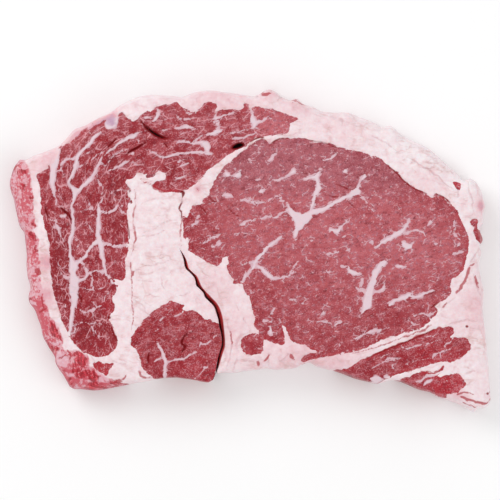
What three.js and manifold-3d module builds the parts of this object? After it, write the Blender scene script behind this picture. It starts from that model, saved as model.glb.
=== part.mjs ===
// Raw ribeye steak, one slice of beef rib lying flat on one of its two cut faces.
// It is a single solid: a broad round eye of lean on the right, a crescent of cap muscle arching over the
// left, a wedge of seam fat between them with a small round muscle at its foot, and a thin tail at the lower
// right. The eye and the wedge have come apart along a crack that runs right through and opens at the lower
// edge. One side of it stands upright, and the other slopes down to a ledge where the two nearly meet.
// Millimetres, +Z up. The origin is the middle of the outline's bounding box, on the surface that the
// steak lies on.

import * as THREE from 'three';
import { mergeVertices } from 'three/addons/utils/BufferGeometryUtils.js';
import Module from 'manifold-3d';

// ---------------------------------------------------------------- driving dimensions, mm

const LENGTH = 220; // widest span, left to right
const THICKNESS = 25; // highest point of the upper cut face
const BELLY_HEIGHT = 8.5; // where the sides stand out furthest
const CRACK_LEDGE = 18.5; // and where the two sides of the crack do
const UNDERCUT = 2.4; // how far the sides tuck back in again at the foot
const LEAN_DIP = 0.5; // how far a muscle sinks below the fat that frames it
const BORDER_SOFTNESS = 1.6; // half width of the slope between fat and muscle
const SHOULDER_DROP = 1.9; // how far the upper face rolls down towards its rim
const SHOULDER_REACH = 7; // how far in from the rim that roll starts
const SEAM_FURROW = { depth: 0.8, reach: 1.6 }; // the seam's depth, and its half width
const WELD_DISTANCE = 1e-4; // points nearer each other than this are one

// ---------------------------------------------------------------- plan grid

// Places in plan are given on a square grid seen from above, x to the right and y down, of which
// GRID_SPAN steps cover the steak's length.
const GRID_SPAN = 482;
const STEP = LENGTH / GRID_SPAN; // mm for each grid step
const GRID_MIDDLE = { x: 250, y: 251 };

const COLUMNS_LEFT = 30; // mesh columns across the cap side
const COLUMNS_RIGHT = 40; // and across the eye side
const ROWS_CRACK = 25; // mesh rows along the crack
const ROWS_SEAM = 24; // and along the seam above it
const ROWS = ROWS_CRACK + ROWS_SEAM;
const CRACK_MOUTH = 4; // rows over which its ledge rises from the belly of the outer sides
const FLANK_ABOVE = 4; // mesh rings on the sides above the belly
const FLANK_BELOW = 2; // and below it
const NORMAL_REACH = 3; // neighbours on each side over which the outline's normals are evened out
const OUTLINE_PIECES = 4; // straight pieces for each landmark of a muscle's outline
const BLADE_PIECES = 8; // straight pieces along a split

// ---------------------------------------------------------------- outline

// Each landmark is [x, y, bank]: a point of the outline, and how wide the sloping side is there, in grid
// steps. The runs follow each other anticlockwise, seen from above.

const LOWER_RIGHT = [
  [217, 374, 1], [223, 372, 1.5], [237, 372, 2], [255, 370.5, 2], [288, 370, 2], [299, 367, 2],
  [309, 363, 2], [318, 367, 4], [334, 371.5, 4], [347, 376, 3.5], [369, 383, 3], [378, 384, 4],
  [387, 381.5, 4], [399, 381.5, 3], [413, 387, 4], [428, 392, 6], [441, 399, 8], [458, 404.5, 8.5],
  [466, 408, 7], [474, 413, 5], [480, 408, 4], [484, 409, 3.5], [489, 406, 3],
];
const RIGHT = [
  [489, 406, 3], [491, 396, 3], [489.5, 375, 3], [487.5, 350, 3], [483.5, 315, 3.5], [484, 292, 6],
  [480.5, 274, 6], [480, 257, 5], [482.5, 242, 8], [480, 229, 8], [483.5, 222, 6], [485.5, 206, 5],
  [482, 190, 5], [477, 182, 5], [470, 178, 4],
];
const UPPER_RIGHT = [
  [470, 178, 4], [463.5, 181, 5], [457, 173, 10], [447, 164, 15], [432, 150.5, 18], [418, 142, 18],
  [402, 135, 17], [392, 126, 15], [382, 126.5, 14], [366, 119, 14], [350, 112.5, 12], [335, 112.5, 11],
  [318, 109, 9], [304, 104.5, 7], [296, 98.5, 6], [286, 99, 5], [277, 93.5, 4], [269, 89, 4],
  [262, 93.5, 3], [258, 94.5, 3],
];
const UPPER_LEFT = [
  [258, 94.5, 3], [252, 96, 3], [235, 93, 3], [215, 90, 3], [198, 92, 3], [184, 98, 3], [170, 95.5, 4],
  [150, 94, 5], [136, 97.5, 5], [123, 104, 4], [112, 111, 4], [98, 118.5, 4], [87, 125.5, 6],
  [76, 128.5, 8], [68, 136, 8], [60, 145, 5], [48, 150, 5], [36, 156, 6], [28, 159.5, 8], [19.5, 160, 9],
];
const LEFT = [
  [19.5, 160, 9], [12, 170, 14], [9, 184, 18], [12, 195, 19], [14.5, 208, 18], [17, 221, 16],
  [24.5, 234, 12], [25.5, 250, 12], [26, 264, 9], [30, 287, 9], [27.5, 299, 12], [34, 309, 10],
  [39, 322, 9], [42, 336, 9], [50, 350, 10], [55, 359, 10], [57, 367, 12], [63, 376, 13], [69, 387, 12],
];
const LOWER_LEFT = [
  [69, 387, 12], [79, 389.5, 14], [94, 391, 13], [106, 389.5, 11], [120, 387, 8], [134, 384, 5],
  [150, 381, 3], [163, 378.5, 2], [176, 378, 2], [192, 380, 2], [205, 382.5, 2], [213, 380, 1],
];
const CRACK_LEFT = [
  [213, 380, 1], [215.4, 374, 0.5], [217, 366, 0.4], [219, 355, 0.4], [221.8, 342, 0.4], [221.4, 332, 0.4],
  [218.6, 319, 0.4], [214.2, 306, 0.4], [204.4, 294.5, 0.4], [197, 286, 0.4], [194.8, 278, 0.4],
  [187, 269, 0.3], [184, 259, 0.3], [180, 249, 0.1],
];
const CRACK_RIGHT = [
  [180, 249, 0.1], [185.3, 258.6, 1.2], [188.3, 267.8, 1.8], [196.2, 276.8, 2.2], [198.4, 285, 3.6],
  [205.6, 293.2, 2], [215.5, 305, 4], [220, 318.5, 3.8], [222.7, 331.8, 2.6], [223.2, 342.4, 2],
  [220.4, 355.4, 2.4], [218.3, 366, 1.8], [217, 374, 1],
];
// Above the crack the seam between the eye and the cap goes on as a shallow furrow, up to the upper edge.
const SEAM = [
  [180, 249], [181.5, 238], [181, 224], [180, 211], [184, 194], [191, 185], [202, 174], [212, 163.5],
  [222, 158], [233, 148.5], [241, 143], [247, 128], [253, 111], [258, 94.5],
];

// ---------------------------------------------------------------- muscles and openings of the cut face

const EYE = [
  [240, 152], [254, 141], [267, 143], [282, 139], [305, 139], [335, 147], [365, 154], [392, 169],
  [405, 183], [432, 197], [449, 202], [463, 229], [467, 248], [463, 267], [450, 281], [449, 296],
  [430, 318], [400, 334], [368, 347], [335, 355], [312, 358], [318, 352], [296, 343], [275, 344],
  [258, 335], [250, 300], [236, 284], [225, 263], [214, 267], [190, 251], [182, 224], [190, 208],
  [203, 204], [213, 183], [227, 163],
];
const CAP = [
  [61, 147], [88, 129], [108, 119], [135, 120], [150, 111], [174, 102], [188, 112], [209, 103],
  [228, 109], [247, 104], [272, 110], [297, 118], [288, 131], [258, 137], [234, 147], [213, 163],
  [192, 184], [184, 192], [160, 190], [154, 180], [140, 172], [124, 179], [129, 200], [129, 240],
  [125, 280], [113, 298], [117, 340], [110, 354], [92, 354], [71, 338], [60, 316], [51, 280],
  [49, 242], [41, 206], [38, 176], [50, 166],
];
const FOOT_MUSCLE = [
  [152, 378], [140, 364], [132, 343], [145, 321], [172, 302], [184, 308], [193, 310], [209, 320],
  [221, 330], [222, 345], [216, 362], [212, 378],
];
const TAIL_UPPER = [
  [340, 372], [360, 360], [393, 347], [430, 330], [450, 327], [456, 336], [467, 339], [469, 348],
  [460, 358], [430, 366], [392, 377], [370, 381],
];
const TAIL_LOWER = [
  [405, 380], [432, 372], [445, 376], [460, 375], [467, 383], [455, 391], [433, 391],
];
const MUSCLES = [EYE, CAP, FOOT_MUSCLE, TAIL_UPPER, TAIL_LOWER];

// The face swells and sags gently: [x, y, reach in grid steps, height in mm].
const EYE_SWELL = 2.2;
const BASE_HEIGHT = THICKNESS - EYE_SWELL + LEAN_DIP; // so that the eye, which stands highest, is THICKNESS
const SWELLS = [
  [330, 245, 110, EYE_SWELL],
  [158, 250, 34, 0.9], // the wedge of seam fat
  [180, 345, 34, 0.8], // the muscle at its foot
  [165, 140, 60, 0.8], // the crown of the cap
  [470, 385, 70, -3.2], // the tail thins out
  [60, 365, 60, -2.0], // and so does the lower left
  [20, 200, 60, -1.2],
];
// Splits that open in the face without going through: centre line, half width in grid steps, depth in mm.
const SPLITS = [
  { line: [[141, 123], [147, 130], [155, 135], [169, 139]], halfWidth: 1.5, depth: 7 }, // in the cap
  { line: [[234, 148], [239, 145], [246, 143]], halfWidth: 2.6, depth: 6 }, // beside the seam
  { line: [[187, 331], [182, 342], [186, 347], [182, 352]], halfWidth: 1.0, depth: 4 }, // in the foot muscle
  { line: [[149, 352], [148, 361]], halfWidth: 1.1, depth: 4 },
  { line: [[128, 154], [136, 150], [143, 145]], halfWidth: 0.9, depth: 3 },
  { line: [[62, 209], [69, 214], [72, 221]], halfWidth: 0.9, depth: 3 },
];

// ---------------------------------------------------------------- plan geometry

const toPlan = ([x, y]) => new THREE.Vector2((x - GRID_MIDDLE.x) * STEP, (GRID_MIDDLE.y - y) * STEP);

// A smooth run through landmarks, cut into equal lengths. Each sample is { point, bank } in mm.
function sampleRun(landmarks, pieces) {
  const knots = landmarks.map((l) => {
    const p = toPlan(l);
    return new THREE.Vector3(p.x, p.y, (l[2] ?? 0) * STEP);
  });
  const curve = new THREE.CatmullRomCurve3(knots, false, 'centripetal');
  return curve.getSpacedPoints(pieces).map((k) => ({ point: new THREE.Vector2(k.x, k.y), bank: k.z }));
}

function closedOutline(landmarks) {
  const knots = landmarks.map((l) => new THREE.Vector3(toPlan(l).x, toPlan(l).y, 0));
  const curve = new THREE.CatmullRomCurve3(knots, true, 'centripetal');
  const points = curve.getSpacedPoints(OUTLINE_PIECES * landmarks.length).slice(0, -1);
  return points.map((k) => new THREE.Vector2(k.x, k.y));
}

// The whole outline as one anticlockwise loop, and where in it each run starts.
function traceOutline() {
  const runs = [
    ['lowerRight', LOWER_RIGHT, COLUMNS_RIGHT],
    ['right', RIGHT, ROWS],
    ['upperRight', UPPER_RIGHT, COLUMNS_RIGHT],
    ['upperLeft', UPPER_LEFT, COLUMNS_LEFT],
    ['left', LEFT, ROWS],
    ['lowerLeft', LOWER_LEFT, COLUMNS_LEFT],
    ['crackLeft', CRACK_LEFT, ROWS_CRACK],
    ['crackRight', CRACK_RIGHT, ROWS_CRACK],
  ];
  const loop = [];
  const start = {};
  for (const [name, landmarks, pieces] of runs) {
    start[name] = loop.length;
    loop.push(...sampleRun(landmarks, pieces).slice(0, -1));
  }
  return { loop, start };
}

// Outward normals of a closed loop, evened out over a few neighbours so that wide banks don't cross.
function outwardNormals(loop) {
  const count = loop.length;
  return loop.map((_, i) => {
    const sum = new THREE.Vector2();
    for (let k = 1; k <= NORMAL_REACH; k++) {
      sum.add(loop[(i + k) % count].point).sub(loop[(i - k + count) % count].point);
    }
    return new THREE.Vector2(sum.y, -sum.x).normalize();
  });
}

// Distance from p to a chain of points, closed or open.
function distanceToChain(p, chain, closed) {
  let nearest = Infinity;
  const last = closed ? chain.length : chain.length - 1;
  for (let i = 0; i < last; i++) {
    const a = chain[i];
    const b = chain[(i + 1) % chain.length];
    const dx = b.x - a.x;
    const dy = b.y - a.y;
    const t = THREE.MathUtils.clamp(((p.x - a.x) * dx + (p.y - a.y) * dy) / (dx * dx + dy * dy), 0, 1);
    nearest = Math.min(nearest, Math.hypot(p.x - a.x - t * dx, p.y - a.y - t * dy));
  }
  return nearest;
}

function isInside(p, chain) {
  let inside = false;
  for (let i = 0, j = chain.length - 1; i < chain.length; j = i++) {
    const a = chain[i];
    const b = chain[j];
    if (a.y > p.y !== b.y > p.y && p.x < ((b.x - a.x) * (p.y - a.y)) / (b.y - a.y) + a.x) inside = !inside;
  }
  return inside;
}

// A Coons patch: the grid of points blended from four sides that meet at their ends.
// bottom and top run left to right, left and right run bottom to top.
function coonsPatch(bottom, top, left, right) {
  const columns = bottom.length - 1;
  const rows = left.length - 1;
  const grid = [];
  for (let j = 0; j <= rows; j++) {
    const v = j / rows;
    const row = [];
    for (let i = 0; i <= columns; i++) {
      const u = i / columns;
      row.push(new THREE.Vector2()
        .addScaledVector(bottom[i], 1 - v).addScaledVector(top[i], v)
        .addScaledVector(left[j], 1 - u).addScaledVector(right[j], u)
        .addScaledVector(bottom[0], -(1 - u) * (1 - v)).addScaledVector(bottom[columns], -u * (1 - v))
        .addScaledVector(top[0], -(1 - u) * v).addScaledVector(top[columns], -u * v));
    }
    grid.push(row);
  }
  return grid;
}

// ---------------------------------------------------------------- relief

const muscleOutlines = MUSCLES.map(closedOutline);
const seamLine = sampleRun(SEAM, ROWS_SEAM).map((s) => s.point);

// Height of the upper cut face at a plan point, given its distance from the rim.
function faceHeight(p, fromRim) {
  let z = BASE_HEIGHT;
  for (const [x, y, reach, height] of SWELLS) {
    const r = p.distanceTo(toPlan([x, y])) / (reach * STEP);
    z += height * Math.exp(-r * r);
  }
  for (const outline of muscleOutlines) {
    const away = distanceToChain(p, outline, true) * (isInside(p, outline) ? -1 : 1);
    z -= LEAN_DIP * (1 - THREE.MathUtils.smoothstep(away, -BORDER_SOFTNESS, BORDER_SOFTNESS));
  }
  const offSeam = distanceToChain(p, seamLine, false) / SEAM_FURROW.reach;
  z -= SEAM_FURROW.depth * Math.exp(-offSeam * offSeam);
  const roll = Math.max(0, 1 - fromRim / SHOULDER_REACH);
  return z - SHOULDER_DROP * roll * roll;
}

// ---------------------------------------------------------------- mesh

// Collects vertices and triangles.
class MeshBuilder {
  constructor() {
    this.positions = [];
    this.triangles = [];
  }

  vertex(x, y, z) {
    this.positions.push(x, y, z);
    return this.positions.length / 3 - 1;
  }

  quad(a, b, c, d) {
    this.triangles.push(a, b, c, a, c, d);
  }

  geometry() {
    const geometry = new THREE.BufferGeometry();
    geometry.setAttribute('position', new THREE.Float32BufferAttribute(this.positions, 3));
    geometry.setIndex(this.triangles);
    return geometry;
  }
}

// The steak without its splits: the upper face from two patches that share the seam, rings down the sides,
// and a flat face below.
function slabGeometry() {
  const { loop, start } = traceOutline();
  const normals = outwardNormals(loop);
  const rim = loop.map(({ point, bank }, i) => point.clone().addScaledVector(normals[i], -bank));
  const at = (name, offset) => (start[name] + offset) % loop.length;
  const indices = (name, count) => Array.from({ length: count + 1 }, (_, k) => at(name, k));
  const mesh = new MeshBuilder();
  const faceVertex = (p) => mesh.vertex(p.x, p.y, faceHeight(p, distanceToChain(p, rim, true)));
  const rimHeight = rim.map((p) => faceHeight(p, 0));
  const rimVertex = rim.map((p, i) => mesh.vertex(p.x, p.y, rimHeight[i]));

  const crackTip = at('crackRight', 0);
  const seamTop = at('upperLeft', 0);
  const seamInner = seamLine.slice(1, -1);
  const seam = [rim[crackTip], ...seamInner, rim[seamTop]];
  const seamIds = [rimVertex[crackTip], ...seamInner.map(faceVertex), rimVertex[seamTop]];

  // A side of a patch, as points and the vertices already made for them.
  const side = (ids) => ({ points: ids.map((i) => rim[i]), vertices: ids.map((i) => rimVertex[i]) });
  const crackLeft = side(indices('crackLeft', ROWS_CRACK));
  const crackRight = side(indices('crackRight', ROWS_CRACK).reverse());
  const withSeam = (crack) => ({
    points: [...crack.points, ...seam.slice(1)],
    vertices: [...crack.vertices, ...seamIds.slice(1)],
  });
  const patches = [
    {
      bottom: side(indices('lowerLeft', COLUMNS_LEFT)),
      top: side(indices('upperLeft', COLUMNS_LEFT).reverse()),
      left: side(indices('left', ROWS).reverse()),
      right: withSeam(crackLeft),
    },
    {
      bottom: side(indices('lowerRight', COLUMNS_RIGHT)),
      top: side(indices('upperRight', COLUMNS_RIGHT).reverse()),
      left: withSeam(crackRight),
      right: side(indices('right', ROWS)),
    },
  ];
  for (const { bottom, top, left, right } of patches) {
    const grid = coonsPatch(bottom.points, top.points, left.points, right.points);
    const columns = bottom.points.length - 1;
    const ids = grid.map((row, j) => row.map((p, i) => {
      if (j === 0) return bottom.vertices[i];
      if (j === ROWS) return top.vertices[i];
      if (i === 0) return left.vertices[j];
      if (i === columns) return right.vertices[j];
      return faceVertex(p);
    }));
    for (let j = 0; j < ROWS; j++) {
      for (let i = 0; i < columns; i++) mesh.quad(ids[j][i], ids[j][i + 1], ids[j + 1][i + 1], ids[j + 1][i]);
    }
  }

  // Sides: a quarter ellipse from the rim out to the belly, and another back in to the foot. In from its open
  // end the crack has its belly at the ledge.
  const bellyHeight = loop.map((_, i) => {
    const intoCrack = Math.min(i - start.crackLeft, loop.length - i) / CRACK_MOUTH;
    return THREE.MathUtils.lerp(BELLY_HEIGHT, CRACK_LEDGE, THREE.MathUtils.smoothstep(intoCrack, 0, 1));
  });
  let ring = rimVertex;
  const addRing = (place) => {
    const next = loop.map((_, i) => {
      const { out, z } = place(i);
      return mesh.vertex(rim[i].x + normals[i].x * out, rim[i].y + normals[i].y * out, z);
    });
    for (let i = 0; i < loop.length; i++) {
      const j = (i + 1) % loop.length;
      mesh.quad(ring[i], next[i], next[j], ring[j]);
    }
    ring = next;
  };
  for (let k = 1; k <= FLANK_ABOVE; k++) {
    const angle = (Math.PI / 2) * (k / FLANK_ABOVE);
    addRing((i) => ({
      out: loop[i].bank * Math.sin(angle),
      z: bellyHeight[i] + (rimHeight[i] - bellyHeight[i]) * Math.cos(angle),
    }));
  }
  for (let k = 1; k <= FLANK_BELOW; k++) {
    const angle = (Math.PI / 2) * (k / FLANK_BELOW);
    addRing((i) => ({
      out: loop[i].bank - Math.min(UNDERCUT, loop[i].bank) * (1 - Math.cos(angle)),
      z: bellyHeight[i] * (1 - Math.sin(angle)),
    }));
  }

  const foot = ring.map((v) => new THREE.Vector2(mesh.positions[3 * v], mesh.positions[3 * v + 1]));
  for (const [a, b, c] of THREE.ShapeUtils.triangulateShape(foot, [])) {
    mesh.triangles.push(ring[a], ring[c], ring[b]);
  }
  return mesh.geometry();
}

// A lens-shaped blade that follows a split's line, as far above the face as it goes down into it.
function bladeGeometry({ line, halfWidth, depth }) {
  const points = sampleRun(line, BLADE_PIECES).map((s) => s.point);
  const across = points.map((p, i) => {
    const next = points[Math.min(i + 1, BLADE_PIECES)];
    const along = next.clone().sub(points[Math.max(i - 1, 0)]).normalize();
    const reach = halfWidth * STEP * Math.sin((Math.PI * i) / BLADE_PIECES);
    return new THREE.Vector2(-along.y, along.x).multiplyScalar(reach);
  });
  const leftEdge = points.map((p, i) => p.clone().add(across[i]));
  const rightEdge = points.map((p, i) => p.clone().sub(across[i])).slice(1, -1).reverse();
  const blade = new THREE.ExtrudeGeometry(new THREE.Shape([...leftEdge, ...rightEdge]), {
    depth: 2 * depth, bevelEnabled: false,
  });
  const middle = points[BLADE_PIECES / 2];
  return blade.translate(0, 0, faceHeight(middle, SHOULDER_REACH) - depth);
}

// ---------------------------------------------------------------- boolean cut

const wasm = await Module();
wasm.setup();

function toSolid(geometry) {
  const bare = geometry.clone();
  for (const name of Object.keys(bare.attributes)) if (name !== 'position') bare.deleteAttribute(name);
  const merged = mergeVertices(bare, WELD_DISTANCE);
  return new wasm.Manifold(new wasm.Mesh({
    numProp: 3,
    vertProperties: merged.attributes.position.array,
    triVerts: new Uint32Array(merged.index.array),
  }));
}

function toGeometry(solid) {
  const { vertProperties, triVerts } = solid.getMesh();
  const geometry = new THREE.BufferGeometry();
  geometry.setAttribute('position', new THREE.BufferAttribute(vertProperties, 3));
  geometry.setIndex(new THREE.BufferAttribute(triVerts, 1));
  geometry.computeVertexNormals();
  return geometry;
}

// ---------------------------------------------------------------- the part

let solid = toSolid(slabGeometry());
for (const split of SPLITS) solid = solid.subtract(toSolid(bladeGeometry(split)));

const rawBeef = new THREE.MeshStandardMaterial({ color: 0xc5868d, roughness: 0.45, metalness: 0 });
const steak = new THREE.Mesh(toGeometry(solid), rawBeef);
steak.name = 'steak';

const part = new THREE.Group();
part.add(steak);

export default part;
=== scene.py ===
"""Raw ribeye steak, seen from straight above on a plain pale floor.

The steak is one closed skin worked out as whole numpy arrays. Two blended grids that share a seam make the
cut face, rings make its sides, and two coarser grids close it below. The muscles, the marbling, the splits,
the stains and some lines of painted shade are drawn as paths. Each vertex keeps its distance to them, and the
material turns those distances into lean, fat, blood and painted shade.

Plan places are on a square grid seen from above, x to the right and y down. GRID_SPAN of its steps cover the
steak's length. Everything is then worked out in millimetres, and becomes metres when a mesh is made.
"""

import math

import bpy
import numpy as np
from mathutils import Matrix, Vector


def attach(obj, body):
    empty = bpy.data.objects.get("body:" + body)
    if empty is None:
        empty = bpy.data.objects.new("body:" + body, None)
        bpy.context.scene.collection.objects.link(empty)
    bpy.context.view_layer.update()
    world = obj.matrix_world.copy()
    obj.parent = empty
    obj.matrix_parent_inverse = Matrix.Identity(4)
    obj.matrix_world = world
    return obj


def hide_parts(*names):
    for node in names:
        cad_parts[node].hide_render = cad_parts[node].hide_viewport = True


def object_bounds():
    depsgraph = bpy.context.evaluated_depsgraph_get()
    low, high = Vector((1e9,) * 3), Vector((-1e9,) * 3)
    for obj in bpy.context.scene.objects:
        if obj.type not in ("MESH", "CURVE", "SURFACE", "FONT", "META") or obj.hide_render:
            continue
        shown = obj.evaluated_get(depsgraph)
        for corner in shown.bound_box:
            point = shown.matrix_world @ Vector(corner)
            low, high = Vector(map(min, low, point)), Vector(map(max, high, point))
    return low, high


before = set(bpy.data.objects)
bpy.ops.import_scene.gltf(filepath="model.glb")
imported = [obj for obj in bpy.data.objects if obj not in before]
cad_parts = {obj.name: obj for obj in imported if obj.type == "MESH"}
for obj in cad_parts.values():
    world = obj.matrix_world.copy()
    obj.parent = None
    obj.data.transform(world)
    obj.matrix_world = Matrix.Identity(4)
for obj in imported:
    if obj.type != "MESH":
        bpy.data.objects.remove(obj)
cad_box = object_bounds()

# ------------------------------------------------ sizes: grid steps to metres

METRES = 0.001
GRID_SPAN = 482
GRID_MIDDLE = np.array([250.0, 251.0])
STEP = (cad_box[1].x - cad_box[0].x) / METRES / GRID_SPAN  # millimetres for each grid step
THICKNESS = (cad_box[1].z - cad_box[0].z) / METRES

# ------------------------------------------------ sizes of the form, in millimetres

BELLY_HEIGHT = 8.5  # where the sides stand out furthest
CRACK_LEDGE = 18.5  # where the crack's walls come closest
UNDERCUT = 2.4  # how far the sides tuck back in at the foot
WIDE_BANK = 3.0  # a bank of this width has an even rim and full bumps
BUMP_HEIGHT = 0.5  # bumps on the sides
BUMP_SIZE = 3.4
BUMP_SHIFT = 300  # which part of their noise they come from
DRIFT = 2.6  # how far the pattern wanders on its way down the sides
DRIFT_SIZE = 7.0
DRIFT_SHIFT = 90  # which part of its noise that comes from
DRIFT_SQUEEZE = 1.4  # how much shorter it is from top to bottom than along the side
DRIFT_FROM, DRIFT_TO = 1.0, 11.0  # depths at which it starts to wander, and wanders fully
LEAN_DIP = 0.5  # how far a muscle sinks below the fat that frames it
VEIN_LIFT = 0.16  # how far a vein stands up from the muscle
BORDER_SOFTNESS = 1.2  # half width of the slope between fat and muscle
SHOULDER_DROP = 1.9  # how far the face rolls down towards its rim
SHOULDER_REACH = 7.0  # how far in from the rim that roll starts
GASH_LIP = 0.45  # how far beside a split the face starts to fall into it
EYE_SWELL = 2.2
BASE_HEIGHT = THICKNESS - EYE_SWELL + LEAN_DIP - 0.35  # room for the fine relief on top

EYE_GRAIN = math.radians(18)  # how much the eye's fibres rise to the right
LEFT_GRAIN = math.radians(-80)  # and how much those of the skinned side on the left fall
LEFT_GRAIN_END = -58.0  # how far right that side goes
OUTLINE_REACH = 4.0  # distances are told apart up to this far from an outline
VEIN_REACH = 3.0  # and from a vein

# Value noise in layers: (amount and size in millimetres, seed).
RAGGED_X = [(0.45, 2.6, 11), (0.30, 1.3, 12)]  # shifts the drawn edges, so that they come out ragged
RAGGED_Y = [(0.45, 2.6, 13), (0.30, 1.3, 14)]
LOBULES = [(0.30, 6.5, 21), (0.14, 2.8, 22)]  # relief of the fat
RIDGES = [(0.16, 1.5, 23)]  # relief of the cap, along its fibres
GRAIN = [(0.10, 1.5, 24), (0.16, 4.5, 25)]  # relief of all lean
BUMP_SEED = 31
DRIFT_SEED = 41
LATTICE = 256  # random numbers along each side of a noise's lattice

# ------------------------------------------------ counts of the mesh

COLUMNS_LEFT = 136  # mesh columns across the cap side
COLUMNS_RIGHT = 206  # and across the eye side
ROWS_CRACK = 80  # mesh rows along the crack
ROWS_SEAM = 100  # and along the seam above it
ROWS = ROWS_CRACK + ROWS_SEAM
FLANK_ABOVE = 6  # rings on the sides above the belly
FLANK_BELOW = 3  # and below it
CRACK_MOUTH = 14  # rim points over which the belly rises to the crack's ledge
RIM_SPACING = 1.25  # grid steps between two rim points, roughly
NORMAL_REACH = 12  # neighbours over which the outline's normals are evened out
RIM_REACH = 7  # and the rim's own bumps
PATH_PIECES = 5  # pieces between two knots of a drawn path
OUTLINE_PIECES = 12  # and of the steak's outline
SPINE_PIECES = 60
SPINE_BLEND = 4.0  # square millimetres that even out the pull of neighbouring places on the spine
RELAX_ROUNDS = 60

# A line's width along its path, in shares: kept and thin at its end, or pointed at both ends.
THINNING = (1, 1, 1, 0.4)
SPINDLE = (0.3, 1, 0.3)
GASH_TIP = 0.2  # width of a split at its ends, in grid steps
GASH_SHOULDER = 0.8  # and its share of the full width beside them

# ------------------------------------------------ picture and floor, in metres

PICTURE = 500  # grid steps across the picture
CAMERA_HEIGHT = 2.0
SHARP_HEIGHT = THICKNESS * METRES * 0.6  # where a grid step has its exact size in the picture
SENSOR = 36
FAR_END = 20
FLOOR_HALF = 3.0

# ------------------------------------------------ outline: [x, y, bank], anticlockwise from above

LOWER_RIGHT = [
    [217, 374, 1], [222, 373, 1.5], [236, 373, 2], [244, 371.5, 2], [258, 370, 2], [265, 369, 2],
    [278, 370, 2], [296, 368, 2], [302, 365, 2], [309, 363, 2], [318, 367.5, 3], [332, 371, 4],
    [342, 374, 4], [355, 379, 3.5], [367, 382, 3], [378, 384, 4], [391, 380.5, 4], [398, 381.5, 3],
    [405, 384, 3], [419, 390, 4], [431, 393, 5.5], [438, 397.5, 7], [450, 401.5, 8], [460, 405, 8],
    [467, 408.5, 7], [474, 412.5, 5], [478.5, 408, 4], [483, 409, 3.5], [489, 406, 3],
]
RIGHT = [
    [489, 406, 3], [490.8, 401, 2.5], [490.5, 390, 2.5], [489, 368, 3], [487, 345, 3], [485, 325, 3],
    [483, 310, 3], [484, 293, 5], [481.5, 278, 5], [479.5, 265, 5], [481.5, 252, 5], [480, 246.5, 5],
    [483, 240.5, 7], [480.5, 228, 7], [484, 222.5, 6], [483.3, 215, 5], [485.5, 206, 5], [483.5, 198, 5],
    [480, 187, 5], [475, 181, 5], [470, 178, 4],
]
UPPER_RIGHT = [
    [470, 178, 4], [464.5, 180.5, 6], [460, 176, 9], [455, 171, 12], [450, 167.5, 14], [443, 160.5, 16],
    [436, 154, 17], [430, 149, 18], [423, 145, 18], [415, 141.5, 18], [406, 137, 17.5], [401, 134, 17],
    [396, 129, 15], [391, 125.7, 14], [382, 126.3, 14], [375, 122.5, 14], [366, 119, 14], [359, 116.5, 13],
    [350, 112.8, 12], [344, 112, 11.5], [335, 112.3, 11], [321, 110.5, 9], [310, 105.3, 8], [303, 103.5, 7],
    [297, 98.7, 6], [290, 99.5, 5], [283, 97, 5], [275, 91, 4], [269, 88.8, 4], [264, 91, 3.5],
    [258, 94.5, 3],
]
UPPER_LEFT = [
    [258, 94.5, 3], [252, 96, 3], [247, 95, 3], [235, 93, 3], [225, 92, 3], [212, 90, 3], [200, 91, 3],
    [192, 93, 4], [186, 95.3, 4], [182, 96.8, 4], [171, 95.3, 4], [160, 94.5, 4.5], [147, 94.5, 5],
    [136, 97.5, 5], [128, 101, 5], [121, 104.5, 4], [112, 111, 4], [100, 117, 4], [94, 120.5, 4],
    [87, 124.5, 6], [80, 126.7, 8], [74, 129, 8], [68, 135.5, 8], [63, 141, 6], [58, 145.5, 5],
    [52, 148.5, 5], [41, 153, 5], [34, 155, 6], [28, 158.5, 8], [24, 160, 8], [19.5, 159.5, 9],
]
LEFT = [
    [19.5, 159.5, 9], [14, 166, 12], [10.5, 176, 16], [9, 185, 18], [10.5, 192, 19], [13, 199, 18],
    [14.5, 207, 18], [16.5, 216, 17], [19, 226, 15], [23.5, 233, 12], [24.5, 241, 12], [26, 251, 12],
    [26, 262, 10], [27, 276, 9], [30, 287, 9], [27.8, 297, 11], [29, 303, 11], [34, 310, 10], [38, 320, 9],
    [40.5, 328, 9], [42, 336, 9], [45.5, 343, 9.5], [50, 350, 10], [54.5, 358, 10], [55, 363, 11],
    [58, 369, 12], [63, 376, 13], [69, 387, 12],
]
LOWER_LEFT = [
    [69, 387, 12], [74, 389.3, 13], [80, 389.5, 14], [88, 390.5, 14], [94, 391, 13], [103, 390, 12],
    [111, 388.5, 10.5], [121, 386.5, 8], [134, 384, 5], [142, 382.5, 4], [150, 381, 3], [163, 378.5, 2],
    [176, 378, 2], [184, 379, 2], [192, 380, 2], [205, 382.5, 2], [209, 382.5, 1.5], [213, 380, 1],
]
CRACK_LEFT = [
    [213, 380, 1], [215.2, 375, 0.6], [216.6, 368, 0.4], [218, 359, 0.4], [220, 352, 0.4],
    [221.9, 345.5, 0.4], [222.4, 339, 0.4], [221.4, 332.5, 0.4], [219.6, 326, 0.4], [218.6, 319, 0.4],
    [216.6, 312.5, 0.4], [214.2, 306, 0.4], [208.4, 300, 0.4], [205.2, 296.5, 0.4], [203.8, 292.5, 0.4],
    [199, 287.5, 0.4], [196.6, 285, 0.4], [196, 281, 0.4], [194.8, 277.5, 0.4], [190, 272, 0.3],
    [186.6, 269, 0.3], [185, 265, 0.3], [184.2, 260, 0.3], [182.6, 255, 0.2], [180, 249, 0.1],
]
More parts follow.
